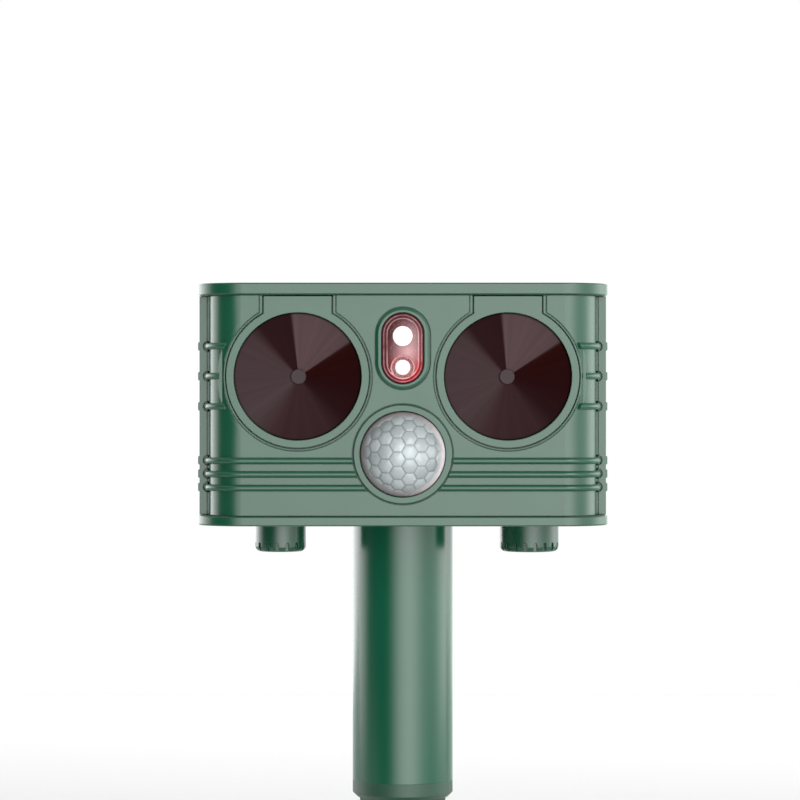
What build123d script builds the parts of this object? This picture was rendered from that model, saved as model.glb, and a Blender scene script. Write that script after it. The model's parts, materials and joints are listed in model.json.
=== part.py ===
from build123d import *
import os

# Solar ultrasonic pest repeller on a pole with a ground spike.
# Millimetres. +X is to the right as the front is faced, +Y to the rear, +Z up.
# The origin is on the pole's axis at ground level, where the pole meets the spike's collar.

# ---- housing: driving dimensions ----
POLE_STAND_OUT = 92.8        # ground to the underside of the base plate
HOUSING_WIDTH = 143.0
HOUSING_DEPTH = 94.0
HOUSING_HEIGHT = 83.9
FRONT_Y = -47.4              # front of the lid and of the base plate
REAR_Y = FRONT_Y + HOUSING_DEPTH
PLAN_RADIUS = 16.0           # corners of the lid and of the base plate
RIM_EDGE = 0.5               # rounding of the rims' edges
LID_THICK = 4.05
BASE_THICK = 3.3
SEAM = 0.25                  # open line between a rim and the shells

# ---- front cover ----
COVER_WIDTH = 134.8
COVER_RADIUS = 11.6
COVER_FRONT = FRONT_Y + 1.6
COVER_WALL = 2.4
COVER_BACK = -26.0           # rear edge of its side walls, inside the rear shell
FACE_BACK = COVER_FRONT + COVER_WALL

# ---- rear shell ----
SHELL_WIDTH = 141.8
SHELL_WALL = 2.6
SHELL_RADIUS = 15.4
SHELL_FRONT = -33.0
SHELL_REAR = REAR_Y - 0.6
SHELL_INNER_REAR = SHELL_REAR - SHELL_WALL
SEAM_DEEP = 1.1              # to the lip that closes the line between shell and cover
LIP_THICK = 1.2
LIP_INNER = COVER_WIDTH / 2 + 0.1
LIP_OUTER = SHELL_WIDTH / 2 - SHELL_WALL / 2

# ---- beads round the housing ----
BEAD_HEIGHT = 2.2
BEAD_PROUD = 1.6
BEAD_GAP = 0.7               # clearance of the shell's notches round the beads
FULL_BEADS = (22.5, 17.85, 13.15)
SHORT_BEADS = (62.2, 51.8, 41.3)
SHELL_BEAD_PROUD = 0.5
SHELL_BEAD_HEIGHT = 3.0

# ---- horns ----
HORN_X = 36.25
HORN_Z = 51.6
HORN_DISC_R = 22.0
BEZEL_R = 24.6
OPENING_R = 25.9
BOSS_R = 27.9
BOSS_FRONT = COVER_FRONT + 2.0
BOSS_BACK = -38.4
NECK_HALF = 11.7
NECK_GROOVE = 1.7
BEZEL_GAP = 0.5              # open line round the bezel, inside its rebate
BEZEL_TOP_GAP = 0.3
REBATE_DEEP = 0.5
REBATE_GROOVE = 0.35
REBATE_GROOVE_DEEP = 1.5
FLANGE_THICK = 1.5
FLANGE_R = 27.4
CONE_FRONT = COVER_FRONT + 1.0
CONE_SLOPE = 0.414
CONE_SKIN = 1.0
CAP_R = 2.7
HORN_SCREWS = ((-9.6, -28.2), (9.6, -28.2))
HORN_EAR_R = 2.9
HORN_POST_R = 2.6
HORN_DISH_STEP = 0.7         # from a boss's outline in to the dish round the horn

# ---- light window ----
WINDOW_Z = 61.3
WINDOW_W, WINDOW_H = 15.0, 24.9
WINDOW_STEP_W, WINDOW_STEP_H = 11.2, 20.8
WINDOW_OUTLINE_W, WINDOW_OUTLINE_H = 19.4, 28.8
UPPER_LED_Z, UPPER_LED_R = 65.7, 3.45
LOWER_LED_Z, LOWER_LED_R = 54.8, 2.6
LED_FLANGE_R = 4.3
WINDOW_FLANGE_W, WINDOW_FLANGE_H = 21.6, 31.0
WINDOW_FIT = 0.1
LEDGE = 0.4                  # the clear cover rests on it
SHOULDER_WIDTH = 0.95        # sloped outer edge of the ring round the window
SHOULDER_DROP = 0.45
REFLECTOR_W, REFLECTOR_H = 16.0, 25.6
REFLECTOR_WALL = 1.3
REFLECTOR_FLOOR = -38.0
REFLECTOR_BACK = -36.8
LED_BOARD_Y = -34.6

# ---- motion sensor ----
SENSOR_Z = 24.8
DOME_R = 14.6
DOME_PROUD = 10.5
DOME_SKIN = 0.9
SENSOR_BEZEL_R = 17.2
SENSOR_OPENING_R = 17.55
SENSOR_FLANGE_R = 19.5
SENSOR_BOARD_Y = -33.0
SENSOR_BOARD_R = 12.0
SENSOR_CAN_R, SENSOR_CAN_HEIGHT = 4.1, 4.6
SENSOR_CAN_FOOT_R = 4.7
SENSOR_EYE_W, SENSOR_EYE_H = 3.8, 3.0

# ---- fasteners ----
CASE_POST_X = 59.5
CASE_POST_Z = (12.0, 73.0)
CASE_SPLIT = -13.0           # where the cover's posts meet the shell's wells
BOARD_POSTS = ((-52.0, 24.5), (52.0, 24.5), (-38.0, 12.0), (38.0, 12.0))
COVER_BASE_POST = (48.0, -39.5)
SHELL_BASE_POST = (64.4, 22.0)
BASE_POST_R = 4.1
BASE_POST_TOP = 20.0
COVER_LID_EAR = (16.5, -39.4)
SHELL_LID_EAR = (50.0, 39.5)
EAR_TOP = HOUSING_HEIGHT - LID_THICK - 1.0
EAR_THICK = 3.0
SCREW_R = 1.45
PILOT_R = 1.15
CASE_POST_R = 3.6
CASE_WELL_R, CASE_WELL_BORE = 4.4, 3.1
CASE_WELL_FLOOR = 3.0
BOARD_POST_R = 2.8
COVER_BASE_POST_R = 3.2
BASE_POST_LOW = BASE_THICK + 2.0
BASE_PILOT_TOP = 14.0
EAR_HALF = 3.4
LID_POST_R = 3.0
# Screws: length, then the head's radius and height.
LID_SCREW = (5.2, 2.4, 1.6)
BASE_SCREW = (11.0, 2.7, 1.5)
CASE_SCREW = (14.0, 2.7, 1.8)
HORN_SCREW = (5.6, 2.2, 1.5)
BOARD_SCREW = (7.0, 2.4, 1.5)
BASE_SCREW_SINK = 1.8        # counterbore in the base plate
BASE_SCREW_SINK_R = 2.9

# ---- boards ----
BOARD_THICK = 1.6
MAIN_BOARD_Y = -24.0
MAIN_BOARD_W = 109.0
MAIN_BOARD_LOW, MAIN_BOARD_HIGH = 7.0, 41.0

# ---- controls under the base ----
KNOB_Y = -8.0
KNOB_GAP = 0.4
KNOB_DROP = 10.5
KNOB_EDGE = 2.0
KNOB_RECESS_R = 7.0
KNOB_RECESS = 3.2
NOTCH_W, NOTCH_H, NOTCH_DEEP = 1.3, 2.7, 1.0
SHAFT_R = 3.0
SHAFT_FIT = 0.06
BUSH_R = 3.9
CONTROL_R = 8.2
CONTROL_HEIGHT = 6.5
BUSH_DROP = 2.4
NUT_R, NUT_THICK = 5.6, 1.8
SHAFT_DROP = 8.0
POINTER_HALF, POINTER_DEEP = 0.6, 0.5
FREQUENCY_X, FREQUENCY_R, FREQUENCY_NOTCHES = -43.6, 9.0, 15
SENSITIVITY_X, SENSITIVITY_R, SENSITIVITY_NOTCHES = 45.2, 10.5, 18

# ---- battery ----
CELL_R = 9.2
CELL_LENGTH = 65.0
CELL_Y = 32.0
CELL_HEIGHTS = (18.0, 38.5)
HOLDER_HALF = 38.0
HOLDER_FRONT = 29.5
HOLDER_LOW, HOLDER_HIGH = 6.5, 50.0
CELL_FIT = 0.2
CONTACT_THICK, CONTACT_HALF = 1.6, 5.0
CELL_GROOVE_X = 28.5
CELL_GROOVE_WIDTH = 1.2
CELL_GROOVE = 0.5

# ---- charging socket ----
USB_X, USB_Z = 47.0, 33.0
USB_W, USB_H = 9.0, 3.4
USB_COVER_W, USB_COVER_H = 17.0, 11.0
USB_RECESS = 1.2
USB_MOUTH_GAP = 1.3          # between the socket and the edge of its hole
USB_DEEP = 7.4
COVER_GAP = 0.35
GRIP_RIBS, GRIP_PITCH, GRIP_R = 3, 3.0, 0.3

# ---- solar panel ----
PANEL_W, PANEL_D = 118.0, 72.0
PANEL_RADIUS = 4.0
PANEL_GLASS = 1.0
PANEL_BOARD = 1.2
PANEL_GAP = 0.25
CELL_ROWS, CELL_COLUMNS = 2, 6
CELL_THICK = 0.3
CELL_BORDER, CELL_GAP = 3.0, 1.0
GLASS_LIP = 2.5
LEAD_HOLE_R, LEAD_HOLE_Y = 2.5, 25.0

# ---- wall keyholes ----
KEYHOLE_X = 30.0
KEYHOLE_Z = 62.0
KEYHOLE_R = 4.2
KEYHOLE_SLOT_R = 2.1
KEYHOLE_RISE = 8.0
KEYHOLE_POCKET = 4.0
KEYHOLE_MARGIN = 0.8
KEYHOLE_WALL = 1.6

# ---- pole and spike ----
POLE_R = 18.0
POLE_WALL = 2.0
SOCKET_DEEP = 22.0
SOCKET_FIT = 0.08
SOCKET_WALL = 2.4
PLUG_LENGTH = 22.0
PLUG_FIT = 0.08
PLUG_WALL = 2.4
COLLAR_THICK = 6.0
SPIKE_LENGTH = 125.0
BLADE_HALF = 15.5
BLADE_THICK = 3.4
BLADE_NARROW = 0.42          # share of its width that a blade keeps at its shoulder
BLADE_SHOULDER = 0.78        # share of the spike's length at which the blades turn in to the tip
TIP_HALF = 0.8

CUT = 1.0                    # how far a cutting tool runs past what it cuts
JOIN = 0.5                   # how far a rib or post runs into the wall it grows from
NEARLY = 0.98                # keeps a full round just short of the next face
FAR = 80.0                   # beyond the housing's sides


def up(height):
    """Height above the underside of the base plate, in the object's frame."""
    return POLE_STAND_OUT + height


def slab(width, y_low, y_high, radius, z_low, z_high, x=0.0):
    """Flat plate with rounded corners in plan."""
    plan = RectangleRounded(width, y_high - y_low, radius)
    return Pos(x, (y_low + y_high) / 2, z_low) * extrude(plan, z_high - z_low)


def block(x_low, x_high, y_low, y_high, z_low, z_high):
    centre = Pos((x_low + x_high) / 2, (y_low + y_high) / 2, (z_low + z_high) / 2)
    return centre * Box(x_high - x_low, y_high - y_low, z_high - z_low)


def rod_z(radius, x, y, z_low, z_high):
    return Pos(x, y, (z_low + z_high) / 2) * Cylinder(radius, z_high - z_low)


def rod_y(radius, x, z, y_low, y_high):
    return Pos(x, (y_low + y_high) / 2, z) * Rot(90, 0, 0) * Cylinder(radius, y_high - y_low)


def rod_x(radius, y, z, x_low, x_high):
    return Pos((x_low + x_high) / 2, y, z) * Rot(0, 90, 0) * Cylinder(radius, x_high - x_low)


def prism_y(sketch, x, z, y_low, y_high):
    """Outline in X and Z, carried along Y."""
    plane = Plane(origin=(x, y_high, z), x_dir=(1, 0, 0), z_dir=(0, -1, 0))
    return extrude(plane * sketch, y_high - y_low)


def upright_slot(width, height):
    return Rot(0, 0, 90) * SlotOverall(height, width)


def turned_y(profile, x, z):
    """Solid of revolution about an axis along Y. The profile is a list of (radius, y)."""
    outline = make_face(Polyline(*profile, close=True))
    return Pos(x, 0, z) * revolve(outline, Axis.Y)


def mirrored(points):
    """The same places on both sides of the middle plane."""
    return [(side * x, y) for x, y in points for side in (-1, 1)]


def group(solids):
    """Several separate pieces of one kind in one node."""
    return Compound(children=list(solids))


def top_edges(solid):
    return solid.faces().sort_by(Axis.Z)[-1].edges()


def bottom_edges(solid):
    return solid.faces().sort_by(Axis.Z)[0].edges()


def front_edges(solid):
    return solid.faces().sort_by(Axis.Y)[0].edges()


def soft_slab(plate, radius):
    """Rounds a flat plate's outer edges, top and bottom."""
    return fillet(top_edges(plate) + bottom_edges(plate), radius)


# ---------------------------------------------------------------- beads

def bead_band(width, y_front, y_rear, radius, proud, height, z):
    """A round-edged slab that stands out of a shell's walls as a bead."""
    band = slab(width + 2 * proud, y_front - proud, y_rear, radius + proud, z - height / 2, z + height / 2)
    return soft_slab(band, min(height / 2, proud) * NEARLY)


def cover_band(height, proud, z):
    return bead_band(COVER_WIDTH, COVER_FRONT, REAR_Y, COVER_RADIUS, proud, height, up(z))


def shell_band(z):
    width = SHELL_WIDTH + 2 * SHELL_BEAD_PROUD
    half = SHELL_BEAD_HEIGHT / 2
    band = slab(width, SHELL_FRONT - 30, REAR_Y + 30, SHELL_RADIUS, up(z) - half, up(z) + half)
    return soft_slab(band, SHELL_BEAD_PROUD * NEARLY)


# ---------------------------------------------------------------- housing shells

SHELL_LOW = up(BASE_THICK + SEAM)
SHELL_HIGH = up(HOUSING_HEIGHT - LID_THICK - SEAM)


def cover_walls():
    """Front wall and its two returns, with the beads."""
    outer = slab(COVER_WIDTH, COVER_FRONT, REAR_Y, COVER_RADIUS, SHELL_LOW, SHELL_HIGH)
    for z in FULL_BEADS:
        outer += cover_band(BEAD_HEIGHT, BEAD_PROUD, z)
    for z in SHORT_BEADS:
        short = cover_band(BEAD_HEIGHT, BEAD_PROUD, z)
        short -= block(-HORN_X, HORN_X, FRONT_Y - 5, REAR_Y + 5, up(0), up(HOUSING_HEIGHT))
        outer += short
    inner = slab(
        COVER_WIDTH - 2 * COVER_WALL, FACE_BACK, REAR_Y, COVER_RADIUS - COVER_WALL,
        SHELL_LOW - CUT, SHELL_HIGH + CUT,
    )
    walls = outer - inner
    keep = block(-FAR, FAR, FRONT_Y - 5, SHELL_FRONT + 2, up(0), up(HOUSING_HEIGHT))
    side = COVER_WIDTH / 2
    keep += block(-side, side, SHELL_FRONT, COVER_BACK, up(0), up(HOUSING_HEIGHT))
    return walls & keep


def horn_keyhole(side, radius, neck_half, top, y_low, y_high):
    """Outline of a horn bezel: a round with a neck that runs up to the lid."""
    x = side * HORN_X
    hole = rod_y(radius, x, up(HORN_Z), y_low, y_high)
    return hole + block(x - neck_half, x + neck_half, y_low, y_high, up(HORN_Z), top)


def with_horn_rebate(cover, side):
    """Opening for a horn's bezel, in a shallow rebate that has a fine groove along its outer wall."""
    neck = NECK_HALF + NECK_GROOVE
    floor = COVER_FRONT + REBATE_DEEP
    groove_floor = COVER_FRONT + REBATE_GROOVE_DEEP
    cover -= horn_keyhole(side, OPENING_R, neck, SHELL_HIGH + CUT, FRONT_Y - 5, groove_floor)
    ledge = horn_keyhole(
        side, OPENING_R - REBATE_GROOVE, neck - REBATE_GROOVE, SHELL_HIGH, floor, groove_floor + JOIN
    )
    radius, neck = BEZEL_R + BEZEL_GAP, NECK_HALF + BEZEL_GAP
    return cover + ledge - horn_keyhole(side, radius, neck, SHELL_HIGH + CUT, FRONT_Y - 5, BOSS_BACK + CUT)


def front_cover():
    cover = cover_walls()
    for side in (-1, 1):
        x = side * HORN_X
        cover -= rod_y(BOSS_R - HORN_DISH_STEP, x, up(HORN_Z), FRONT_Y - 5, BOSS_FRONT)
        outer_half = block(HORN_X + NECK_HALF + 0.3, FAR, COVER_FRONT, 0, SHELL_LOW, SHELL_HIGH)
        if side < 0:
            outer_half = mirror(outer_half, Plane.YZ)
        cover += rod_y(BOSS_R, x, up(HORN_Z), BOSS_FRONT, BOSS_BACK) & outer_half
        face = rod_y(BOSS_R, x, up(HORN_Z), COVER_FRONT, BOSS_FRONT)
        cover += face & slab(COVER_WIDTH, COVER_FRONT, REAR_Y, COVER_RADIUS, SHELL_LOW, SHELL_HIGH)
        for dx, dz in HORN_SCREWS:
            cover += rod_y(HORN_POST_R, x + dx, up(HORN_Z + dz), FACE_BACK - JOIN, BOSS_BACK)
        cover = with_horn_rebate(cover, side)
        for dx, dz in HORN_SCREWS:
            cover -= rod_y(PILOT_R, x + dx, up(HORN_Z + dz), FACE_BACK + 0.4, BOSS_BACK + CUT)
    outline = upright_slot(WINDOW_OUTLINE_W, WINDOW_OUTLINE_H)
    cover -= prism_y(outline, 0, up(WINDOW_Z), FRONT_Y - 5, FACE_BACK + CUT)
    cover -= rod_y(SENSOR_OPENING_R, 0, up(SENSOR_Z), FRONT_Y - 5, FACE_BACK + CUT)
    for z in CASE_POST_Z:
        for x in (-CASE_POST_X, CASE_POST_X):
            cover += rod_y(CASE_POST_R, x, up(z), COVER_FRONT + 3.2, CASE_SPLIT)
            cover -= rod_y(PILOT_R, x, up(z), CASE_SPLIT - 12, CASE_SPLIT + CUT)
    for x, z in BOARD_POSTS:
        cover += rod_y(BOARD_POST_R, x, up(z), FACE_BACK - JOIN, MAIN_BOARD_Y)
        cover -= rod_y(PILOT_R, x, up(z), MAIN_BOARD_Y - 7, MAIN_BOARD_Y + CUT)
    for x, y in mirrored([COVER_BASE_POST]):
        cover += rod_z(COVER_BASE_POST_R, x, y, up(BASE_POST_LOW), up(BASE_POST_TOP))
        cover += block(x - 1, x + 1, FACE_BACK - JOIN, y, up(BASE_POST_LOW), up(BASE_POST_TOP))
        cover -= rod_z(PILOT_R, x, y, up(0), up(BASE_PILOT_TOP))
    for x, y in mirrored([COVER_LID_EAR]):
        ear_rear = y + EAR_HALF
        cover += block(
            x - EAR_HALF, x + EAR_HALF, FACE_BACK - JOIN, ear_rear, up(EAR_TOP - EAR_THICK), up(EAR_TOP)
        )
        cover -= rod_z(SCREW_R, x, y, up(EAR_TOP - 5), up(HOUSING_HEIGHT))
    return cover


def usb_recess():
    """Shallow recess in the rear wall that the socket's cover lies in, squarer at the hinge than below."""
    outline = RectangleRounded(USB_COVER_W, USB_COVER_H, 1.5)
    outline += Pos(0, USB_COVER_H / 4) * RectangleRounded(USB_COVER_W, USB_COVER_H / 2, 0.4)
    return prism_y(outline, USB_X, up(USB_Z), SHELL_REAR - USB_RECESS, SHELL_REAR + 5)


def rear_shell():
    outer = slab(SHELL_WIDTH, FRONT_Y - 20, SHELL_REAR, SHELL_RADIUS, SHELL_LOW, SHELL_HIGH)
    for z in FULL_BEADS + SHORT_BEADS:
        outer += shell_band(z) & block(-FAR, FAR, FRONT_Y - 20, 28, up(0), up(HOUSING_HEIGHT))
    inner = slab(
        SHELL_WIDTH - 2 * SHELL_WALL, FRONT_Y - 30, SHELL_INNER_REAR, SHELL_RADIUS - SHELL_WALL,
        SHELL_LOW - CUT, SHELL_HIGH + CUT,
    )
    shell = outer - inner
    shell -= block(-FAR, FAR, -100, SHELL_FRONT, 0, 300)
    lip_front = SHELL_FRONT + SEAM_DEEP
    for x_low, x_high in ((-LIP_OUTER, -LIP_INNER), (LIP_INNER, LIP_OUTER)):
        shell += block(x_low, x_high, lip_front, lip_front + LIP_THICK, SHELL_LOW, SHELL_HIGH)
    notch_back = lip_front + LIP_THICK + CUT
    for z in FULL_BEADS + SHORT_BEADS:
        notch = cover_band(BEAD_HEIGHT + 2 * BEAD_GAP, BEAD_PROUD + BEAD_GAP, z)
        shell -= notch & block(-FAR, FAR, SHELL_FRONT - 5, notch_back, up(0), up(HOUSING_HEIGHT))
    for z in CASE_POST_Z:
        for x in (-CASE_POST_X, CASE_POST_X):
            shell += rod_y(CASE_WELL_R, x, up(z), CASE_SPLIT, SHELL_REAR - 1)
            shell -= rod_y(CASE_WELL_BORE, x, up(z), CASE_SPLIT + CASE_WELL_FLOOR, SHELL_REAR + CUT)
            shell -= rod_y(SCREW_R, x, up(z), CASE_SPLIT - CUT, CASE_SPLIT + 4)
    for x, y in mirrored([SHELL_BASE_POST]):
        shell += rod_z(BASE_POST_R, x, y, up(BASE_POST_LOW), up(BASE_POST_TOP))
        shell -= rod_z(PILOT_R, x, y, up(0), up(BASE_PILOT_TOP))
    for x, y in mirrored([SHELL_LID_EAR]):
        ear_rear = SHELL_INNER_REAR + JOIN
        shell += block(
            x - EAR_HALF, x + EAR_HALF, y - EAR_HALF, ear_rear, up(EAR_TOP - EAR_THICK), up(EAR_TOP)
        )
        shell -= rod_z(SCREW_R, x, y, up(EAR_TOP - 5), up(HOUSING_HEIGHT))
    for x in (-KEYHOLE_X, KEYHOLE_X):
        shell = with_keyhole(shell, x)
    shell -= usb_recess()
    mouth = RectangleRounded(USB_W + 2 * USB_MOUTH_GAP, USB_H + 2 * USB_MOUTH_GAP, 1.6)
    shell -= prism_y(mouth, USB_X, up(USB_Z), SHELL_INNER_REAR - CUT, SHELL_REAR + CUT)
    return shell


def with_keyhole(shell, x):
    """Adds a closed pocket behind a keyhole, so that a wall screw hooks in and no water gets past."""
    z = up(KEYHOLE_Z)
    back = SHELL_INNER_REAR - KEYHOLE_POCKET
    half = KEYHOLE_R + KEYHOLE_MARGIN
    top = z + KEYHOLE_RISE + half
    outer = half + KEYHOLE_WALL
    shell += block(
        x - outer, x + outer, back - KEYHOLE_WALL, SHELL_INNER_REAR + JOIN, z - outer, top + KEYHOLE_WALL
    )
    shell -= block(x - half, x + half, back, SHELL_INNER_REAR, z - half, top)
    shell -= rod_y(KEYHOLE_R, x, z, SHELL_INNER_REAR - CUT, SHELL_REAR + CUT)
    slot = block(
        x - KEYHOLE_SLOT_R, x + KEYHOLE_SLOT_R, SHELL_INNER_REAR - CUT, SHELL_REAR + CUT, z, z + KEYHOLE_RISE
    )
    slot += rod_y(KEYHOLE_SLOT_R, x, z + KEYHOLE_RISE, SHELL_INNER_REAR - CUT, SHELL_REAR + CUT)
    return shell - slot


GASKET_SINK = 0.6
GASKET_INSET = 0.9
GASKET_RADIUS, GASKET_INNER_RADIUS = 12.0, 8.0


def gasket_band(z_low, z_high):
    """Flat ring that lies under the edges of both shells."""
    front, rear = COVER_FRONT + GASKET_INSET, SHELL_REAR - GASKET_INSET
    outer = slab(SHELL_WIDTH - 2 * GASKET_INSET, front, rear, GASKET_RADIUS, z_low, z_high)
    inner_width = COVER_WIDTH - COVER_WALL
    front, rear = FACE_BACK + 0.2, SHELL_INNER_REAR - 0.4
    inner = slab(inner_width, front, rear, GASKET_INNER_RADIUS, z_low - CUT, z_high + CUT)
    return outer - inner


def base_gasket():
    return gasket_band(up(BASE_THICK - GASKET_SINK), SHELL_LOW)


def lid_gasket():
    low = up(HOUSING_HEIGHT - LID_THICK)
    return gasket_band(SHELL_HIGH, low + GASKET_SINK)


def panel_pocket(z_low, z_high, grow):
    y = (FRONT_Y + REAR_Y) / 2
    return slab(
        PANEL_W + 2 * grow, y - PANEL_D / 2 - grow, y + PANEL_D / 2 + grow, PANEL_RADIUS + grow, z_low, z_high
    )


PANEL_FLOOR = up(HOUSING_HEIGHT) - PANEL_GLASS - PANEL_BOARD - CELL_THICK


def top_lid():
    low, high = up(HOUSING_HEIGHT - LID_THICK), up(HOUSING_HEIGHT)
    lid = soft_slab(slab(HOUSING_WIDTH, FRONT_Y, REAR_Y, PLAN_RADIUS, low, high), RIM_EDGE)
    lid -= panel_pocket(PANEL_FLOOR, high + CUT, PANEL_GAP)
    lid -= gasket_band(low - CUT, low + GASKET_SINK)
    for x, y in mirrored([COVER_LID_EAR, SHELL_LID_EAR]):
        lid += rod_z(LID_POST_R, x, y, up(EAR_TOP), low + JOIN)
        lid -= rod_z(PILOT_R, x, y, up(EAR_TOP) - CUT, up(HOUSING_HEIGHT) - 2.7)
    lid -= rod_z(LEAD_HOLE_R, 0, LEAD_HOLE_Y, low - CUT, high)
    return lid


RIB_THICK = 2.0
RIB_GAP = 1.4
RIB_SIDE_GAP = 3.2
RIB_RADIUS = 7.0


def locating_rib(floor):
    """Low rib on the base plate that lies just inside both shells."""
    width = COVER_WIDTH - 2 * RIB_SIDE_GAP
    front, rear = FACE_BACK + RIB_GAP, SHELL_INNER_REAR - RIB_GAP
    rib = slab(width, front, rear, RIB_RADIUS, floor - JOIN, floor + RIB_THICK)
    inner = slab(
        width - 2 * RIB_THICK, front + RIB_THICK, rear - RIB_THICK, RIB_RADIUS - RIB_THICK,
        floor, floor + RIB_THICK + CUT,
    )
    return rib - inner


def base_plate():
    low, high = up(0), up(BASE_THICK)
    base = soft_slab(slab(HOUSING_WIDTH, FRONT_Y, REAR_Y, PLAN_RADIUS, low, high), RIM_EDGE)
    base -= gasket_band(up(BASE_THICK - GASKET_SINK), high + CUT)
    base += locating_rib(high)
    socket_r = POLE_R + SOCKET_FIT
    base += rod_z(socket_r + SOCKET_WALL, 0, 0, low, up(SOCKET_DEEP + SOCKET_WALL))
    base -= rod_z(socket_r, 0, 0, low - CUT, up(SOCKET_DEEP))
    for x, y in mirrored([COVER_BASE_POST, SHELL_BASE_POST]):
        base -= rod_z(BASE_POST_R + 0.3, x, y, high, high + 3.0)
        base -= rod_z(SCREW_R, x, y, low - CUT, high + 3.0)
        base -= rod_z(BASE_SCREW_SINK_R, x, y, low - CUT, low + BASE_SCREW_SINK)
    for x in (FREQUENCY_X, SENSITIVITY_X):
        base -= rod_z(BUSH_R + 0.1, x, KNOB_Y, low - CUT, high + CUT)
    return base


# ---------------------------------------------------------------- horns

def horn_bezel(side):
    """Keyhole ring with a flange behind, which two screws hold to the cover."""
    x = side * HORN_X
    top = SHELL_HIGH - BEZEL_TOP_GAP
    bezel = horn_keyhole(side, BEZEL_R, NECK_HALF, top, COVER_FRONT, BOSS_BACK)
    flange_back = BOSS_BACK + FLANGE_THICK
    bezel += horn_keyhole(side, FLANGE_R, NECK_HALF + NECK_GROOVE, top, BOSS_BACK, flange_back)
    for dx, dz in HORN_SCREWS:
        bezel += rod_y(HORN_EAR_R, x + dx, up(HORN_Z + dz), BOSS_BACK, flange_back)
        bezel -= rod_y(PILOT_R, x + dx, up(HORN_Z + dz), BOSS_BACK - CUT, flange_back + CUT)
    bezel -= rod_y(HORN_DISC_R + 0.1, x, up(HORN_Z), FRONT_Y - 5, CONE_FRONT + 1.5)
    bezel -= rod_y(HORN_DISC_R - 0.8, x, up(HORN_Z), FRONT_Y - 5, flange_back + CUT)
    return bezel


def cone_depth(radius):
    """Y of the cone's front at a radius."""
    return CONE_FRONT + (HORN_DISC_R - radius) * CONE_SLOPE


CONE_HOLE_R = 1.5


def horn_cone(side):
    profile = [
        (CONE_HOLE_R, cone_depth(CAP_R)),
        (CAP_R, cone_depth(CAP_R)),
        (HORN_DISC_R, CONE_FRONT),
        (HORN_DISC_R, CONE_FRONT + 1.5),
        (HORN_DISC_R - 0.9, CONE_FRONT + 1.5),
        (CAP_R, cone_depth(CAP_R) + CONE_SKIN),
        (CONE_HOLE_R, cone_depth(CAP_R) + CONE_SKIN),
    ]
    return turned_y(profile, side * HORN_X, up(HORN_Z))


DRIVER_PLATE = BOSS_BACK + FLANGE_THICK
DRIVER_BACK = -27.0
DRIVER_BORE_END = -33.5


def horn_cap(side):
    """Flat centre cap whose stem joins the cone to the driver."""
    seat = cone_depth(CAP_R)
    profile = [
        (0, seat - 0.6), (CAP_R - 0.25, seat - 0.6), (CAP_R, seat - 0.35), (CAP_R, seat),
        (CONE_HOLE_R, seat), (CONE_HOLE_R, DRIVER_BORE_END), (0, DRIVER_BORE_END),
    ]
    return turned_y(profile, side * HORN_X, up(HORN_Z))


def piezo_driver(side):
    profile = [
        (6.0, DRIVER_PLATE), (24.0, DRIVER_PLATE), (24.0, DRIVER_PLATE + 1.5), (14.0, DRIVER_PLATE + 1.5),
        (14.0, DRIVER_BACK), (0, DRIVER_BACK), (0, DRIVER_BORE_END), (6.0, DRIVER_BORE_END),
    ]
    return turned_y(profile, side * HORN_X, up(HORN_Z))


# ---------------------------------------------------------------- light window

def led_bezel():
    """Thin stadium ring, a groove's width inside the cover's opening, on a flange behind the face."""
    height, width = WINDOW_OUTLINE_H - 0.6, WINDOW_OUTLINE_W - 0.6
    ring = prism_y(upright_slot(width, height), 0, up(WINDOW_Z), COVER_FRONT - 0.2, FACE_BACK)
    face = ring.faces().sort_by(Axis.Y)[0]
    ring = chamfer(front_edges(ring), SHOULDER_WIDTH, SHOULDER_DROP, reference=face)
    flange = upright_slot(WINDOW_FLANGE_W, WINDOW_FLANGE_H)
    ring += prism_y(flange, 0, up(WINDOW_Z), FACE_BACK, FACE_BACK + 1.2)
    ring -= prism_y(upright_slot(WINDOW_W, WINDOW_H), 0, up(WINDOW_Z), FRONT_Y, FACE_BACK - 0.6)
    through = upright_slot(WINDOW_W - 2 * LEDGE, WINDOW_H - 2 * LEDGE)
    ring -= prism_y(through, 0, up(WINDOW_Z), FRONT_Y, FACE_BACK + 3)
    return ring


def led_window():
    """Clear cover with a raised inner step, hollow behind."""
    pane_front = COVER_FRONT + 0.6
    step_front = COVER_FRONT - 0.5
    pane = upright_slot(WINDOW_W - 2 * WINDOW_FIT, WINDOW_H - 2 * WINDOW_FIT)
    window = prism_y(pane, 0, up(WINDOW_Z), pane_front, FACE_BACK - 0.6)
    step = prism_y(upright_slot(WINDOW_STEP_W, WINDOW_STEP_H), 0, up(WINDOW_Z), step_front, pane_front + 0.5)
    window += fillet(front_edges(step), 0.5)
    hollow = upright_slot(WINDOW_STEP_W - 2.0, WINDOW_STEP_H - 2.0)
    window -= prism_y(hollow, 0, up(WINDOW_Z), step_front + 1.0, FACE_BACK)
    return window


def led_reflector():
    """Tray behind the window with a round hole for each light."""
    outline = upright_slot(REFLECTOR_W, REFLECTOR_H)
    hollow = upright_slot(REFLECTOR_W - 2 * REFLECTOR_WALL, REFLECTOR_H - 2 * REFLECTOR_WALL)
    tray = prism_y(outline, 0, up(WINDOW_Z), FACE_BACK + 1.2, REFLECTOR_BACK)
    tray -= prism_y(hollow, 0, up(WINDOW_Z), FACE_BACK, REFLECTOR_FLOOR)
    tray -= rod_y(UPPER_LED_R + 0.15, 0, up(UPPER_LED_Z), FACE_BACK, REFLECTOR_BACK + CUT)
    tray -= rod_y(LOWER_LED_R + 0.15, 0, up(LOWER_LED_Z), FACE_BACK, REFLECTOR_BACK + CUT)
    return tray


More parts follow.
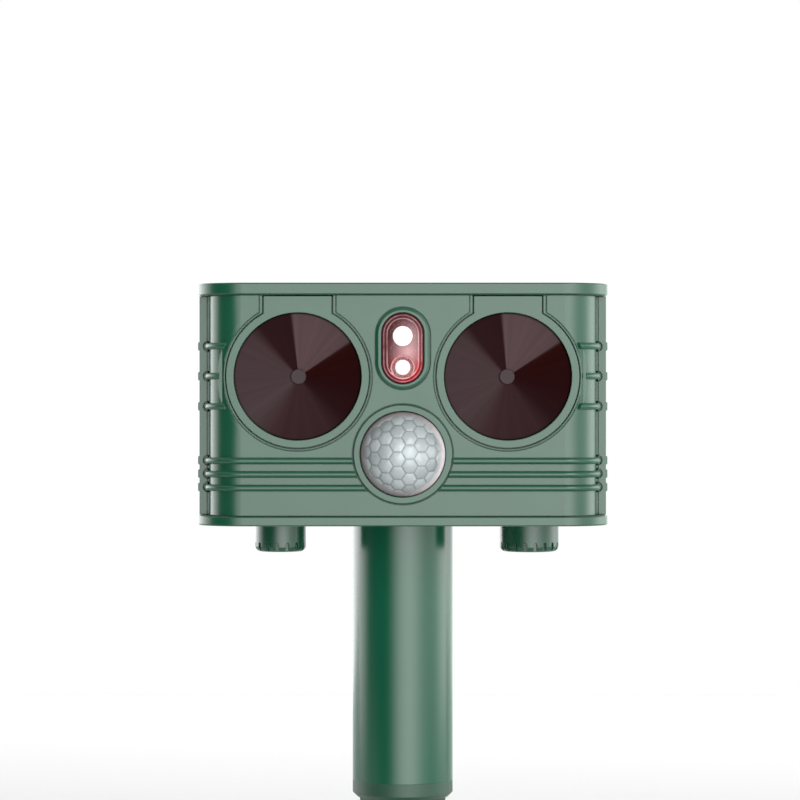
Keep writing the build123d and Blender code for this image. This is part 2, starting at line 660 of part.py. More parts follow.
def led(radius, z, tip):
    """Round-nosed light with a flange, standing on the light board."""
    body = rod_y(radius, 0, up(z), tip + radius, LED_BOARD_Y)
    body += Pos(0, tip + radius, up(z)) * Sphere(radius)
    return body


def upper_led():
    return led(UPPER_LED_R, UPPER_LED_Z, FACE_BACK + 1.0)


def lower_led():
    flange = rod_y(LED_FLANGE_R, 0, up(LOWER_LED_Z), REFLECTOR_FLOOR - 1.0, REFLECTOR_FLOOR)
    return led(LOWER_LED_R, LOWER_LED_Z, FACE_BACK + 1.0) + flange


def led_board():
    return block(-9.5, 9.5, LED_BOARD_Y, LED_BOARD_Y + BOARD_THICK, up(47.0), up(74.0))


# ---------------------------------------------------------------- motion sensor

def sensor_bezel():
    front = COVER_FRONT - 0.9
    ring = rod_y(SENSOR_BEZEL_R, 0, up(SENSOR_Z), front, FACE_BACK)
    ring = fillet(front_edges(ring), 0.5)
    ring += rod_y(SENSOR_FLANGE_R, 0, up(SENSOR_Z), FACE_BACK, FACE_BACK + 1.2)
    ring -= rod_y(DOME_R + 0.3, 0, up(SENSOR_Z), front - CUT, FACE_BACK + 3)
    return ring


def sensor_lens():
    """Domed shell with a flange that its bezel traps."""
    seat = COVER_FRONT + 0.4
    sphere_r = (DOME_R ** 2 + DOME_PROUD ** 2) / (2 * DOME_PROUD)
    centre = Pos(0, COVER_FRONT - DOME_PROUD + sphere_r, up(SENSOR_Z))
    front_half = block(-30, 30, FRONT_Y - 30, seat, up(SENSOR_Z - 30), up(SENSOR_Z + 30))
    dome = (centre * Sphere(sphere_r)) & front_half & rod_y(DOME_R, 0, up(SENSOR_Z), FRONT_Y - 30, seat)
    dome += rod_y(DOME_R, 0, up(SENSOR_Z), seat - 0.4, FACE_BACK + 1.2)
    dome += rod_y(SENSOR_FLANGE_R - 1.0, 0, up(SENSOR_Z), FACE_BACK + 1.2, FACE_BACK + 2.4)
    dome -= (centre * Sphere(sphere_r - DOME_SKIN)) & front_half
    dome -= rod_y(DOME_R - 2.4, 0, up(SENSOR_Z), seat - 1.5, FACE_BACK + 5)
    return dome


def pir_sensor():
    """Round can with a foot, and a shallow oblong eye in its front."""
    front = SENSOR_BOARD_Y - SENSOR_CAN_HEIGHT
    can = rod_y(SENSOR_CAN_R, 0, up(SENSOR_Z), front, SENSOR_BOARD_Y)
    can += rod_y(SENSOR_CAN_FOOT_R, 0, up(SENSOR_Z), SENSOR_BOARD_Y - 0.6, SENSOR_BOARD_Y)
    half, rise = SENSOR_EYE_W / 2, SENSOR_EYE_H / 2
    return can - block(-half, half, front - CUT, front + 0.3, up(SENSOR_Z) - rise, up(SENSOR_Z) + rise)


def pir_board():
    board = rod_y(SENSOR_BOARD_R, 0, up(SENSOR_Z), SENSOR_BOARD_Y, SENSOR_BOARD_Y + BOARD_THICK)
    back = SENSOR_BOARD_Y + BOARD_THICK
    pins = block(-4.0, 4.0, back, MAIN_BOARD_Y, up(SENSOR_Z) - 1.3, up(SENSOR_Z) + 1.3)
    return board + pins


# ---------------------------------------------------------------- electronics

def main_board():
    half = MAIN_BOARD_W / 2
    back = MAIN_BOARD_Y + BOARD_THICK
    board = block(-half, half, MAIN_BOARD_Y, back, up(MAIN_BOARD_LOW), up(MAIN_BOARD_HIGH))
    for x, z in BOARD_POSTS:
        board -= rod_y(SCREW_R, x, up(z), MAIN_BOARD_Y - CUT, back + CUT)
    return board


CHIP_PINS = 7                # on each long side
CHIP_PITCH = 1.05


def control_chip():
    """Flat package, with pairs of pins that run out on both sides to the board."""
    chip = block(20.0, 30.0, MAIN_BOARD_Y - 1.8, MAIN_BOARD_Y - 0.3, up(28.0), up(35.5))
    for row in range(CHIP_PINS):
        z = up(28.6 + row * CHIP_PITCH)
        chip += block(18.6, 31.4, MAIN_BOARD_Y - 1.0, MAIN_BOARD_Y, z - 0.2, z + 0.2)
    return chip


def capacitors():
    places = ((-26.0, 14.0, 3.1, 8.0), (-18.5, 11.5, 2.6, 7.0), (27.0, 13.0, 4.0, 9.0))
    return group(
        [rod_y(radius, x, up(z), MAIN_BOARD_Y - length, MAIN_BOARD_Y) for x, z, radius, length in places]
    )


def boost_coil(x):
    """Bobbin with two cheeks and a winding between them."""
    z = up(33.0)
    coil = rod_y(5.2, x, z, MAIN_BOARD_Y - 1.2, MAIN_BOARD_Y)
    coil += rod_y(4.2, x, z, MAIN_BOARD_Y - 2.4, MAIN_BOARD_Y - 1.0)
    coil += rod_y(5.2, x, z, MAIN_BOARD_Y - 2.9, MAIN_BOARD_Y - 2.2)
    return coil


def boost_coils():
    return group([boost_coil(x) for x in (-40.0, -27.0)])


# ---------------------------------------------------------------- fasteners

def screw(length, head_r, head):
    """Pan-head screw along +Z, with its head's underside at zero and its shank above."""
    body = rod_z(PILOT_R, 0, 0, 0, length) + rod_z(head_r, 0, 0, -head, 0)
    body = chamfer(bottom_edges(body), 0.35)
    slot = Box(head_r * 1.2, 0.5, 1.2) + Box(0.5, head_r * 1.2, 1.2)
    return body - Pos(0, 0, -head) * slot


def screws_up(places, kind):
    return group([Pos(x, y, z) * screw(*kind) for x, y, z in places])


def screws_forward(places, kind):
    """Screws that are driven from the rear, towards the front."""
    return group([Pos(x, y, z) * Rot(90, 0, 0) * screw(*kind) for x, y, z in places])


def lid_screws():
    low = up(EAR_TOP - EAR_THICK)
    places = [(x, y, low) for x, y in mirrored([COVER_LID_EAR, SHELL_LID_EAR])]
    return screws_up(places, LID_SCREW)


def base_screws():
    low = up(BASE_SCREW_SINK)
    places = [(x, y, low) for x, y in mirrored([COVER_BASE_POST, SHELL_BASE_POST])]
    return screws_up(places, BASE_SCREW)


def case_screws():
    seat = CASE_SPLIT + CASE_WELL_FLOOR
    places = [(x, seat, up(z)) for z in CASE_POST_Z for x in (-CASE_POST_X, CASE_POST_X)]
    return screws_forward(places, CASE_SCREW)


def horn_screws():
    places = []
    for side in (-1, 1):
        for dx, dz in HORN_SCREWS:
            places.append((side * HORN_X + dx, DRIVER_PLATE, up(HORN_Z + dz)))
    return screws_forward(places, HORN_SCREW)


def board_screws():
    places = [(x, MAIN_BOARD_Y + BOARD_THICK, up(z)) for x, z in BOARD_POSTS]
    return screws_forward(places, BOARD_SCREW)


# ---------------------------------------------------------------- controls under the base

CONTROL_LOW = up(BASE_THICK)
SHAFT_TOP = CONTROL_LOW + 4.0


def control_body(x):
    """Panel-mounted control: a can on the base plate and a threaded bush that passes down through it."""
    body = rod_z(CONTROL_R, x, KNOB_Y, CONTROL_LOW, CONTROL_LOW + CONTROL_HEIGHT)
    body += rod_z(BUSH_R, x, KNOB_Y, up(-BUSH_DROP), CONTROL_LOW)
    body += block(x - 4.0, x + 4.0, KNOB_Y + 5.0, KNOB_Y + 12.0, CONTROL_LOW + 1.0, CONTROL_LOW + 2.2)
    return body - rod_z(SHAFT_R + SHAFT_FIT, x, KNOB_Y, up(-5), SHAFT_TOP + 0.3)


def control_nut(x):
    nut = extrude(RegularPolygon(NUT_R, 6), NUT_THICK)
    nut -= rod_z(BUSH_R, 0, 0, -CUT, NUT_THICK + CUT)
    return Pos(x, KNOB_Y, up(-NUT_THICK)) * nut


def control_nuts():
    return group([control_nut(x) for x in (FREQUENCY_X, SENSITIVITY_X)])


def control_shaft(x):
    """Round shaft with a flat that its knob grips."""
    shaft = rod_z(SHAFT_R, x, KNOB_Y, up(-SHAFT_DROP), SHAFT_TOP)
    flat = block(x + 2.2, x + 5.0, KNOB_Y - 5, KNOB_Y + 5, up(-9), up(-3.2))
    return shaft - flat


def knob(x, radius, notches):
    """Round knob with short grip notches round its lower rim, hollow above to clear the nut."""
    top, low = up(-KNOB_GAP), up(-KNOB_DROP)
    body = rod_z(radius, x, KNOB_Y, low, top)
    body = fillet(bottom_edges(body), KNOB_EDGE)
    for index in range(notches):
        angle = 360.0 * index / notches
        cutter = Box(NOTCH_DEEP * 2, NOTCH_W, NOTCH_H + 1.0)
        tip = Rot(0, 90, 0) * Cylinder(NOTCH_W / 2, NOTCH_DEEP * 2)
        notch = Pos(radius, 0, low + NOTCH_H / 2 - 0.5) * cutter + Pos(radius, 0, low + NOTCH_H) * tip
        body -= Pos(x, KNOB_Y, 0) * Rot(0, 0, angle) * notch
    body -= block(
        x - POINTER_HALF, x + POINTER_HALF, KNOB_Y - radius + 2.0, KNOB_Y - 3.5, low - CUT, low + POINTER_DEEP
    )
    body -= rod_z(KNOB_RECESS_R, x, KNOB_Y, top - KNOB_RECESS, top + CUT)
    return body - control_shaft(x)


# ---------------------------------------------------------------- battery and charging

def cell_rod(z, radius, half):
    return rod_x(radius, CELL_Y, up(z), -half, half)


def battery_holder():
    """Open-fronted tray with a round-backed bay for each cell."""
    holder = block(-HOLDER_HALF, HOLDER_HALF, HOLDER_FRONT, SHELL_INNER_REAR, up(HOLDER_LOW), up(HOLDER_HIGH))
    half, radius = CELL_LENGTH / 2 + CONTACT_THICK, CELL_R + CELL_FIT
    for z in CELL_HEIGHTS:
        holder -= cell_rod(z, radius, half)
        holder -= block(-half, half, HOLDER_FRONT - CUT, CELL_Y, up(z) - radius, up(z) + radius)
    return holder


def battery_cell(z):
    """Cylinder with the crimped groove near its positive end."""
    start, end = CELL_GROOVE_X, CELL_GROOVE_X + CELL_GROOVE_WIDTH
    groove = rod_x(CELL_R + CUT, CELL_Y, up(z), start, end)
    groove -= rod_x(CELL_R - CELL_GROOVE, CELL_Y, up(z), start - CUT, end + CUT)
    return cell_rod(z, CELL_R, CELL_LENGTH / 2) - groove


def battery_cells():
    return group([battery_cell(z) for z in CELL_HEIGHTS])


def battery_contacts():
    contacts = []
    for z in CELL_HEIGHTS:
        for side in (-1, 1):
            middle = Pos(side * (CELL_LENGTH + CONTACT_THICK) / 2, CELL_Y, up(z))
            contacts.append(middle * Box(CONTACT_THICK, 2 * CONTACT_HALF, 2 * CONTACT_HALF))
    return group(contacts)


CHARGE_BOARD_LOW = USB_Z - USB_H / 2 - BOARD_THICK


def usb_socket():
    """Rounded metal mouth with a tongue in it."""
    outer = RectangleRounded(USB_W, USB_H, 1.5)
    mouth = RectangleRounded(USB_W - 0.8, USB_H - 0.8, 1.1)
    back = SHELL_INNER_REAR - 0.6
    socket = prism_y(outer, USB_X, up(USB_Z), back - USB_DEEP, back)
    socket -= prism_y(mouth, USB_X, up(USB_Z), back - USB_DEEP + 1.0, back + CUT)
    tongue = block(
        USB_X - 3.2, USB_X + 3.2, back - 7.0, back - 1.4, up(USB_Z) - 0.4, up(USB_Z) + 0.4
    )
    return socket + tongue


def charge_board():
    return block(
        USB_X - 8.5, USB_X + 8.5, SHELL_INNER_REAR - 20.0, SHELL_INNER_REAR,
        up(CHARGE_BOARD_LOW), up(CHARGE_BOARD_LOW) + BOARD_THICK,
    )


COVER_HINGE_Y = SHELL_REAR - 0.1
COVER_HINGE_R = 0.75


def usb_cover():
    """Soft cover: a plate that lies in the recess, a short plug, and a round hinge bead along its top."""
    low = up(USB_Z) - USB_COVER_H / 2 + COVER_GAP
    high = up(USB_Z) + USB_COVER_H / 2 - COVER_GAP - COVER_HINGE_R
    half = USB_COVER_W / 2 - COVER_GAP
    front, rear = COVER_HINGE_Y - COVER_HINGE_R, COVER_HINGE_Y + COVER_HINGE_R
    cover = block(USB_X - half, USB_X + half, front, rear, low, high)
    lower_corners = cover.edges().filter_by(Axis.Y).group_by(Axis.Z)[0]
    cover = fillet(lower_corners, 1.3)
    cover += rod_x(COVER_HINGE_R, COVER_HINGE_Y, high, USB_X - half, USB_X + half)
    plug = RectangleRounded(USB_W + 1.2, USB_H + 1.2, 1.2)
    cover += prism_y(plug, USB_X, up(USB_Z), SHELL_INNER_REAR + 0.2, front + 0.2)
    for index in range(GRIP_RIBS):
        x = USB_X + (index - 1) * GRIP_PITCH
        cover += rod_z(GRIP_R, x, rear, low + 1.2, low + 3.6)
    return cover


# ---------------------------------------------------------------- solar panel

def solar_board():
    return panel_pocket(PANEL_FLOOR, PANEL_FLOOR + PANEL_BOARD, 0)


def solar_cells():
    """Strips of cells in two rows, a hair's gap apart, on the backing board."""
    low = PANEL_FLOOR + PANEL_BOARD
    middle = (FRONT_Y + REAR_Y) / 2
    width = (PANEL_W - 2 * CELL_BORDER - (CELL_COLUMNS - 1) * CELL_GAP) / CELL_COLUMNS
    depth = (PANEL_D - 2 * CELL_BORDER - (CELL_ROWS - 1) * CELL_GAP) / CELL_ROWS
    strips = []
    for column in range(CELL_COLUMNS):
        for row in range(CELL_ROWS):
            x = -PANEL_W / 2 + CELL_BORDER + column * (width + CELL_GAP)
            y = middle - PANEL_D / 2 + CELL_BORDER + row * (depth + CELL_GAP)
            strips.append(block(x, x + width, y, y + depth, low, low + CELL_THICK))
    return group(strips)


def solar_glass():
    """Clear cast cover with a lip that comes down round the cells onto the board."""
    low = PANEL_FLOOR + PANEL_BOARD
    high = up(HOUSING_HEIGHT)
    glass = panel_pocket(low, high, 0)
    return glass - panel_pocket(low - CUT, low + CELL_THICK, -GLASS_LIP)


# ---------------------------------------------------------------- pole and spike

def pole():
    high = up(SOCKET_DEEP) - 0.3
    tube = rod_z(POLE_R, 0, 0, 0, high) - rod_z(POLE_R - POLE_WALL, 0, 0, -CUT, high + CUT)
    return chamfer(top_edges(tube), 0.4)


def spike_blade(angle):
    """One tapering blade of the cross-shaped spike."""
    top, shoulder = -COLLAR_THICK + JOIN, -SPIKE_LENGTH * BLADE_SHOULDER
    narrow = BLADE_HALF * BLADE_NARROW
    outline = Polyline(
        (-BLADE_HALF, 0, top), (BLADE_HALF, 0, top), (narrow, 0, shoulder),
        (TIP_HALF, 0, -SPIKE_LENGTH), (-TIP_HALF, 0, -SPIKE_LENGTH), (-narrow, 0, shoulder), close=True,
    )
    blade = extrude(make_face(outline), BLADE_THICK / 2, dir=(0, 1, 0), both=True)
    return Rot(0, 0, angle) * blade


def ground_spike():
    """Crossed blades under a collar, and a hollow plug that fits into the pole."""
    plug_r = POLE_R - POLE_WALL - PLUG_FIT
    plug = rod_z(plug_r, 0, 0, -CUT, PLUG_LENGTH) - rod_z(plug_r - PLUG_WALL, 0, 0, 0, PLUG_LENGTH + CUT)
    plug = chamfer(top_edges(plug), 0.8)
    collar = rod_z(POLE_R, 0, 0, -COLLAR_THICK, 0)
    collar = chamfer(bottom_edges(collar), 1.5)
    spike = plug + collar
    for angle in (0, 90):
        spike += spike_blade(angle)
    return spike


NODES = {
    "top_lid": top_lid,
    "lid_gasket": lid_gasket,
    "lid_screws": lid_screws,
    "solar_glass": solar_glass,
    "solar_cells": solar_cells,
    "solar_board": solar_board,
    "front_cover": front_cover,
    "rear_shell": rear_shell,
    "case_screws": case_screws,
    "base_plate": base_plate,
    "base_gasket": base_gasket,
    "base_screws": base_screws,
    "left_horn_bezel": lambda: horn_bezel(-1),
    "right_horn_bezel": lambda: horn_bezel(1),
    "left_horn_cone": lambda: horn_cone(-1),
    "right_horn_cone": lambda: horn_cone(1),
    "left_horn_cap": lambda: horn_cap(-1),
    "right_horn_cap": lambda: horn_cap(1),
    "left_piezo_driver": lambda: piezo_driver(-1),
    "right_piezo_driver": lambda: piezo_driver(1),
    "horn_screws": horn_screws,
    "led_bezel": led_bezel,
    "led_window": led_window,
    "led_reflector": led_reflector,
    "upper_led": upper_led,
    "lower_led": lower_led,
    "led_board": led_board,
    "sensor_bezel": sensor_bezel,
    "sensor_lens": sensor_lens,
    "pir_sensor": pir_sensor,
    "pir_board": pir_board,
    "main_board": main_board,
    "control_chip": control_chip,
    "capacitors": capacitors,
    "boost_coils": boost_coils,
    "board_screws": board_screws,
    "frequency_switch": lambda: control_body(FREQUENCY_X),
    "sensitivity_pot": lambda: control_body(SENSITIVITY_X),
    "control_nuts": control_nuts,
    "frequency_shaft": lambda: control_shaft(FREQUENCY_X),
    "sensitivity_shaft": lambda: control_shaft(SENSITIVITY_X),
    "frequency_knob": lambda: knob(FREQUENCY_X, FREQUENCY_R, FREQUENCY_NOTCHES),
    "sensitivity_knob": lambda: knob(SENSITIVITY_X, SENSITIVITY_R, SENSITIVITY_NOTCHES),
    "battery_holder": battery_holder,
    "battery_cells": battery_cells,
    "battery_contacts": battery_contacts,
    "usb_socket": usb_socket,
    "charge_board": charge_board,
    "usb_cover": usb_cover,
    "pole": pole,
    "ground_spike": ground_spike,
}


def main():
    os.makedirs("parts", exist_ok=True)
    for name, make in NODES.items():
        export_step(make(), f"parts/{name}.step")


main()
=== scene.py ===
import json
import math

import bpy
import numpy as np
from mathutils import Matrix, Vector


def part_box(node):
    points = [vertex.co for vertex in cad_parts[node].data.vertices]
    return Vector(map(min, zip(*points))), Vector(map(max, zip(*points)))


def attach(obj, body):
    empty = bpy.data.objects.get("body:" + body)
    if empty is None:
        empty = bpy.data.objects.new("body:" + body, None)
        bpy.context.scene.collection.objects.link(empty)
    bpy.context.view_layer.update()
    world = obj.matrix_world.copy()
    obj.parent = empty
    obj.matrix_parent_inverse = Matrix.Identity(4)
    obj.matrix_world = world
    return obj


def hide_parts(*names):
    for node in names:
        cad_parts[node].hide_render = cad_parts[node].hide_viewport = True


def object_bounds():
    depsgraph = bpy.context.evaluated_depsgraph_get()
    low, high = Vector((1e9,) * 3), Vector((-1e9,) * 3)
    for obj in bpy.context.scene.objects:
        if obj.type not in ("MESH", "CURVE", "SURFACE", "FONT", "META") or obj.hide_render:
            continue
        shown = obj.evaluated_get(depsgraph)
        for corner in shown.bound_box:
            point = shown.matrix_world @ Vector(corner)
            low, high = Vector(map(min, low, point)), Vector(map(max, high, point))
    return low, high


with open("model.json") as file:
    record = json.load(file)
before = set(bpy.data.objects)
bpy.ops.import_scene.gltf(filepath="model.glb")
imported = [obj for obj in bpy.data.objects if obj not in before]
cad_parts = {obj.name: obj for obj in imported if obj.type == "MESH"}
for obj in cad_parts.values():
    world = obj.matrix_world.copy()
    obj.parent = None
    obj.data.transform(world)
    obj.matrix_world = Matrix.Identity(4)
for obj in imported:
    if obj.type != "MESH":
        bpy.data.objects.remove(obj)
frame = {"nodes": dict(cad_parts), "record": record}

CAD_LOW, CAD_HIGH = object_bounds()

MM = 0.001

# ---- camera: one metre in front of the housing's face, level with the picture's middle ----
CAMERA_DISTANCE = 1.0
CAMERA_X = -0.96 * MM
CAMERA_ABOVE_BASE = 43.5 * MM
FRAME_WIDTH = 275.6 * MM
SENSOR_WIDTH = 36.0

# ---- key lamp: above, in front and to the right ----
KEY_PLACE = (0.55, -1.1, 0.75)
KEY_TARGET = (0.0, 0.0, 0.12)
KEY_SIZE = 0.5
KEY_POWER = 4.0

# ---- paper floor ----
FLOOR_HALF = 1.3
FLOOR_FRONT = -0.5
FLOOR_BACK = 0.8
FLOOR_BEND = 0.15
FLOOR_TURN = math.pi / 3     # how far the paper curls
FLOOR_STEPS = 12

# ---- window and lamps ----
WINDOW_RIM = 1.8 * MM        # from the clear cover's outline in to its raised step
STEP_SOFT = 0.2 * MM
# Painted shade: a dark band just inside the clear cover's outline.
SHADE_BAND_START, SHADE_BAND_END = -0.60 * MM, -0.35 * MM
# Painted highlights: where two thin glowing lines lie on the clear cover.
PANE_HIGHLIGHT, STEP_HIGHLIGHT = -0.85 * MM, -0.2 * MM
LINE_CORE, LINE_FADE = 0.06 * MM, 0.26 * MM
RING_INSET = 0.35 * MM       # the bright ring on a lamp's flange
RING_CORE, RING_FADE = 0.10 * MM, 0.32 * MM

# ---- sensor dome ----
CELL_PITCH = 5.15 * MM
CELL_SHIFT = (-2.0 * MM, -1.6 * MM)
CELL_BULGE = 0.32 * MM
GROOVE_DEPTH = 0.10 * MM
GROOVE_WIDTH = 0.60 * MM
CELLS_FADE, CELLS_END = 0.76, 0.92   # where the cells sink into the smooth rim, as shares of the way out
GLOW_TOWARD = math.radians(-8)       # the side of the rim that carries a painted glow
DOME_RINGS = 120
INNER_RINGS = DOME_RINGS // 4
CELL_REACH = 6               # cells to each side of the middle
DOME_SECTORS = 320
DOME_SKIN = 0.9 * MM
DOME_RADIUS = 14.6 * MM
DOME_SEAT = 1.6 * MM         # from the front of the cover's beads back to its face, where the dome starts
DOME_FOOT = 1.5 * MM         # the dome's foot stops this far before the lens's rear


# ---------------------------------------------------------------- node helpers

def add(tree, kind, values, **settings):
    """A node whose sockets take plain values or other nodes' outputs."""
    node = tree.nodes.new(kind)
    for key, value in settings.items():
        setattr(node, key, value)
    for key, value in values.items():
        if isinstance(value, bpy.types.NodeSocket):
            tree.links.new(value, node.inputs[key])
        else:
            node.inputs[key].default_value = value
    return node


def new_material(name):
    material = bpy.data.materials.new(name)
    material.use_nodes = True
    tree = material.node_tree
    tree.nodes.clear()
    output = tree.nodes.new("ShaderNodeOutputMaterial")
    shader = tree.nodes.new("ShaderNodeBsdfPrincipled")
    tree.links.new(shader.outputs["BSDF"], output.inputs["Surface"])
    return material, tree, shader


def rgba(colour):
    return (*colour, 1.0)


def scaled(colour, factor):
    return tuple(min(1.0, channel * factor) for channel in colour)


def math_node(tree, operation, first, second=0.0, clamp=False):
    node = add(tree, "ShaderNodeMath", {0: first, 1: second}, operation=operation, use_clamp=clamp)
    return node.outputs[0]


def blend_colours(tree, factor, first, second):
    node = add(tree, "ShaderNodeMix", {0: factor, 6: first, 7: second}, data_type="RGBA")
    return node.outputs[2]


def remap(tree, value, low, high):
    """A 0 to 1 value brought into a range."""
    node = add(tree, "ShaderNodeMapRange", {"Value": value, "To Min": low, "To Max": high})
    return node.outputs["Result"]


def object_place(tree):
    return tree.nodes.new("ShaderNodeTexCoord").outputs["Object"]


def noise(tree, place, size, detail=2.0):
    """Noise whose lumps are about size metres across."""
    node = add(tree, "ShaderNodeTexNoise", {"Vector": place, "Scale": 1.0 / size, "Detail": detail})
    return node.outputs["Fac"]


def soft_edges(tree, radius):
    return add(tree, "ShaderNodeBevel", {"Radius": radius}, samples=4).outputs["Normal"]


def edge_highlight_mask(tree, rounded):
    """Rises from 0 to 1 where a face turns into an edge; it masks the painted edge highlight."""
    flat = tree.nodes.new("ShaderNodeNewGeometry").outputs["Normal"]
    along = add(tree, "ShaderNodeVectorMath", {0: rounded, 1: flat}, operation="DOT_PRODUCT")
    return math_node(tree, "MULTIPLY", math_node(tree, "SUBTRACT", 1.0, along.outputs["Value"]), 6.0, True)


def relief(tree, height, strength, distance, normal=None):
    values = {"Height": height, "Strength": strength, "Distance": distance}
    if normal is not None:
        values["Normal"] = normal
    return add(tree, "ShaderNodeBump", values).outputs["Normal"]


# ---------------------------------------------------------------- materials

def moulded_plastic(
    name, colour, roughness, grain=0.35 * MM, edge=0.3 * MM, relief_strength=0.12, ior=1.5, sheen=0.0
):
    """Moulded plastic: faint cloudiness, a fine spark-eroded grain, and smoother edges that are painted paler
    as a painted highlight.
    """
    material, tree, shader = new_material(name)
    place = object_place(tree)
    rounded = soft_edges(tree, edge)
    cloud = noise(tree, place, 22 * MM)
    flecks = noise(tree, place, grain, 3.0)
    body = blend_colours(tree, cloud, rgba(scaled(colour, 0.86)), rgba(scaled(colour, 1.14)))
    # Painted highlight: the edges are painted paler, standing in for light caught on them.
    painted_edge_highlight = blend_colours(tree, edge_highlight_mask(tree, rounded), body, rgba(scaled(colour, 1.7)))
    tree.links.new(painted_edge_highlight, shader.inputs["Base Color"])
    rough = remap(tree, noise(tree, place, 9 * MM, 4.0), roughness - 0.03, roughness + 0.05)
    tree.links.new(rough, shader.inputs["Roughness"])
    tree.links.new(relief(tree, flecks, relief_strength, 0.03 * MM, rounded), shader.inputs["Normal"])
    shader.inputs["IOR"].default_value = ior
    shader.inputs["Sheen Weight"].default_value = sheen
    shader.inputs["Sheen Roughness"].default_value = 0.4
    shader.inputs["Sheen Tint"].default_value = rgba(EDGE_SHEEN)
    return material


HOUSING_GREEN = (0.0055, 0.050, 0.025)
POLE_GREEN = (0.0022, 0.055, 0.0275)
EDGE_SHEEN = (0.25, 1.0, 0.65)


def housing_plastic():
    return moulded_plastic("housing_plastic", HOUSING_GREEN, 0.23, sheen=0.08)


def knob_plastic():
    return moulded_plastic("knob_plastic", scaled(HOUSING_GREEN, 0.95), 0.26, edge=0.25 * MM)


def pole_plastic():
    """Extruded tube: long faint draw lines along its length."""
    material, tree, shader = new_material("pole_plastic")
    place = object_place(tree)
    stretched = add(tree, "ShaderNodeMapping", {"Vector": place, "Scale": (1.0, 1.0, 0.02)}).outputs["Vector"]
    lines = noise(tree, stretched, 1.1 * MM, 3.0)
    cloud = noise(tree, place, 30 * MM)
    body = blend_colours(tree, cloud, rgba(scaled(POLE_GREEN, 0.88)), rgba(scaled(POLE_GREEN, 1.12)))
    tree.links.new(body, shader.inputs["Base Color"])
    tree.links.new(remap(tree, lines, 0.19, 0.25), shader.inputs["Roughness"])
    rounded = soft_edges(tree, 0.3 * MM)
    tree.links.new(relief(tree, lines, 0.05, 0.03 * MM, rounded), shader.inputs["Normal"])
    shader.inputs["IOR"].default_value = 1.5
    shader.inputs["Sheen Weight"].default_value = 0.10
    shader.inputs["Sheen Roughness"].default_value = 0.4
    shader.inputs["Sheen Tint"].default_value = rgba(EDGE_SHEEN)
    return material


def spike_plastic():
    green = scaled(HOUSING_GREEN, 0.8)
    return moulded_plastic("spike_plastic", green, 0.42, grain=0.6 * MM, relief_strength=0.3)


def seal_rubber():
    return moulded_plastic("seal_rubber", (0.012, 0.016, 0.014), 0.62, grain=0.25 * MM, relief_strength=0.35)


def offset_parts(tree, place, centre):
    """How far each shaded point lies from a centre, along X, Y and Z."""
    offset = add(tree, "ShaderNodeVectorMath", {0: place, 1: centre}, operation="SUBTRACT").outputs[0]
    return add(tree, "ShaderNodeSeparateXYZ", {0: offset}).outputs


def horn_round(side):
    """Middle of a horn's cone, and its radius."""
    low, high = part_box(f"{side}_horn_cone")
    return tuple((a + b) / 2 for a, b in zip(low, high)), (high[0] - low[0]) / 2


def horn_cone(side, name):
    """Glossy maroon horn with painted reflections as wedges of tone round its axis, fine spun streaks and a
    painted shadow as a dark rim.
    """
    material, tree, shader = new_material(name)
    place = object_place(tree)
    centre, radius = horn_round(side)
    parts = offset_parts(tree, place, centre)
    angle = math_node(tree, "ARCTAN2", parts["Z"], parts["X"])
    # Painted reflection: the base colour changes in wedges by angle round the horn's axis.
    wedges = add(tree, "ShaderNodeValToRGB", {"Fac": remap_angle(tree, angle)})
    set_ramp(wedges.color_ramp, HORN_REFLECTION_WEDGES)
    spun = add(tree, "ShaderNodeCombineXYZ", {0: math_node(tree, "MULTIPLY", angle, 7.0)}).outputs[0]
    streaks = add(tree, "ShaderNodeTexNoise", {"Vector": spun, "Scale": 1.0, "Detail": 4.0}).outputs["Fac"]
    away = distance_y(tree, parts)
    # Painted shadow: the colour darkens to a fifth in a thin ring at the cone's edge.
    rim = fade_in(tree, away, radius - 0.7 * MM, radius - 0.2 * MM)
    inner = math_node(tree, "SUBTRACT", 1.0, fade_in(tree, away, 0.0, radius))
    shade = math_node(tree, "ADD", remap(tree, streaks, 0.72, 1.28), math_node(tree, "MULTIPLY", inner, 0.12))
    shade = math_node(tree, "MULTIPLY", shade, remap(tree, rim, 1.0, 0.2))
    body = add(tree, "ShaderNodeVectorMath", {0: wedges.outputs["Color"], "Scale": shade}, operation="SCALE")
    tree.links.new(body.outputs[0], shader.inputs["Base Color"])
    tree.links.new(remap(tree, streaks, 0.24, 0.34), shader.inputs["Roughness"])
    shader.inputs["IOR"].default_value = 1.45
    shader.inputs["Specular IOR Level"].default_value = 0.05
    return material


def hypotenuse(tree, first, second):
    squares = [math_node(tree, "POWER", side, 2.0) for side in (first, second)]
    return math_node(tree, "SQRT", math_node(tree, "ADD", *squares))


def distance_y(tree, parts):
    """Distance from an axis along Y, from an offset's parts."""
    return hypotenuse(tree, parts["X"], parts["Z"])


def fade_in(tree, value, start, end):
    """Rises from 0 at start to 1 at end."""
    node = add(tree, "ShaderNodeMapRange", {"Value": value, "From Min": start, "From Max": end})
    return node.outputs["Result"]


def remap_angle(tree, angle):
    """An angle from -pi to pi brought to 0 to 1."""
    node = add(tree, "ShaderNodeMapRange",
               {"Value": angle, "From Min": -math.pi, "From Max": math.pi})
    return node.outputs["Result"]


def set_ramp(ramp, stops):
    """Stops are (place from 0 to 1, colour)."""
    while len(ramp.elements) > 1:
        ramp.elements.remove(ramp.elements[-1])
    ramp.elements[0].position = stops[0][0]
    ramp.elements[0].color = rgba(stops[0][1])
    for place, colour in stops[1:]:
        ramp.elements.new(place).color = rgba(colour)


def degrees(value):
    """Where an angle in degrees, counted from +X towards +Z, lies on a ramp."""
    return (value + 180.0) / 360.0
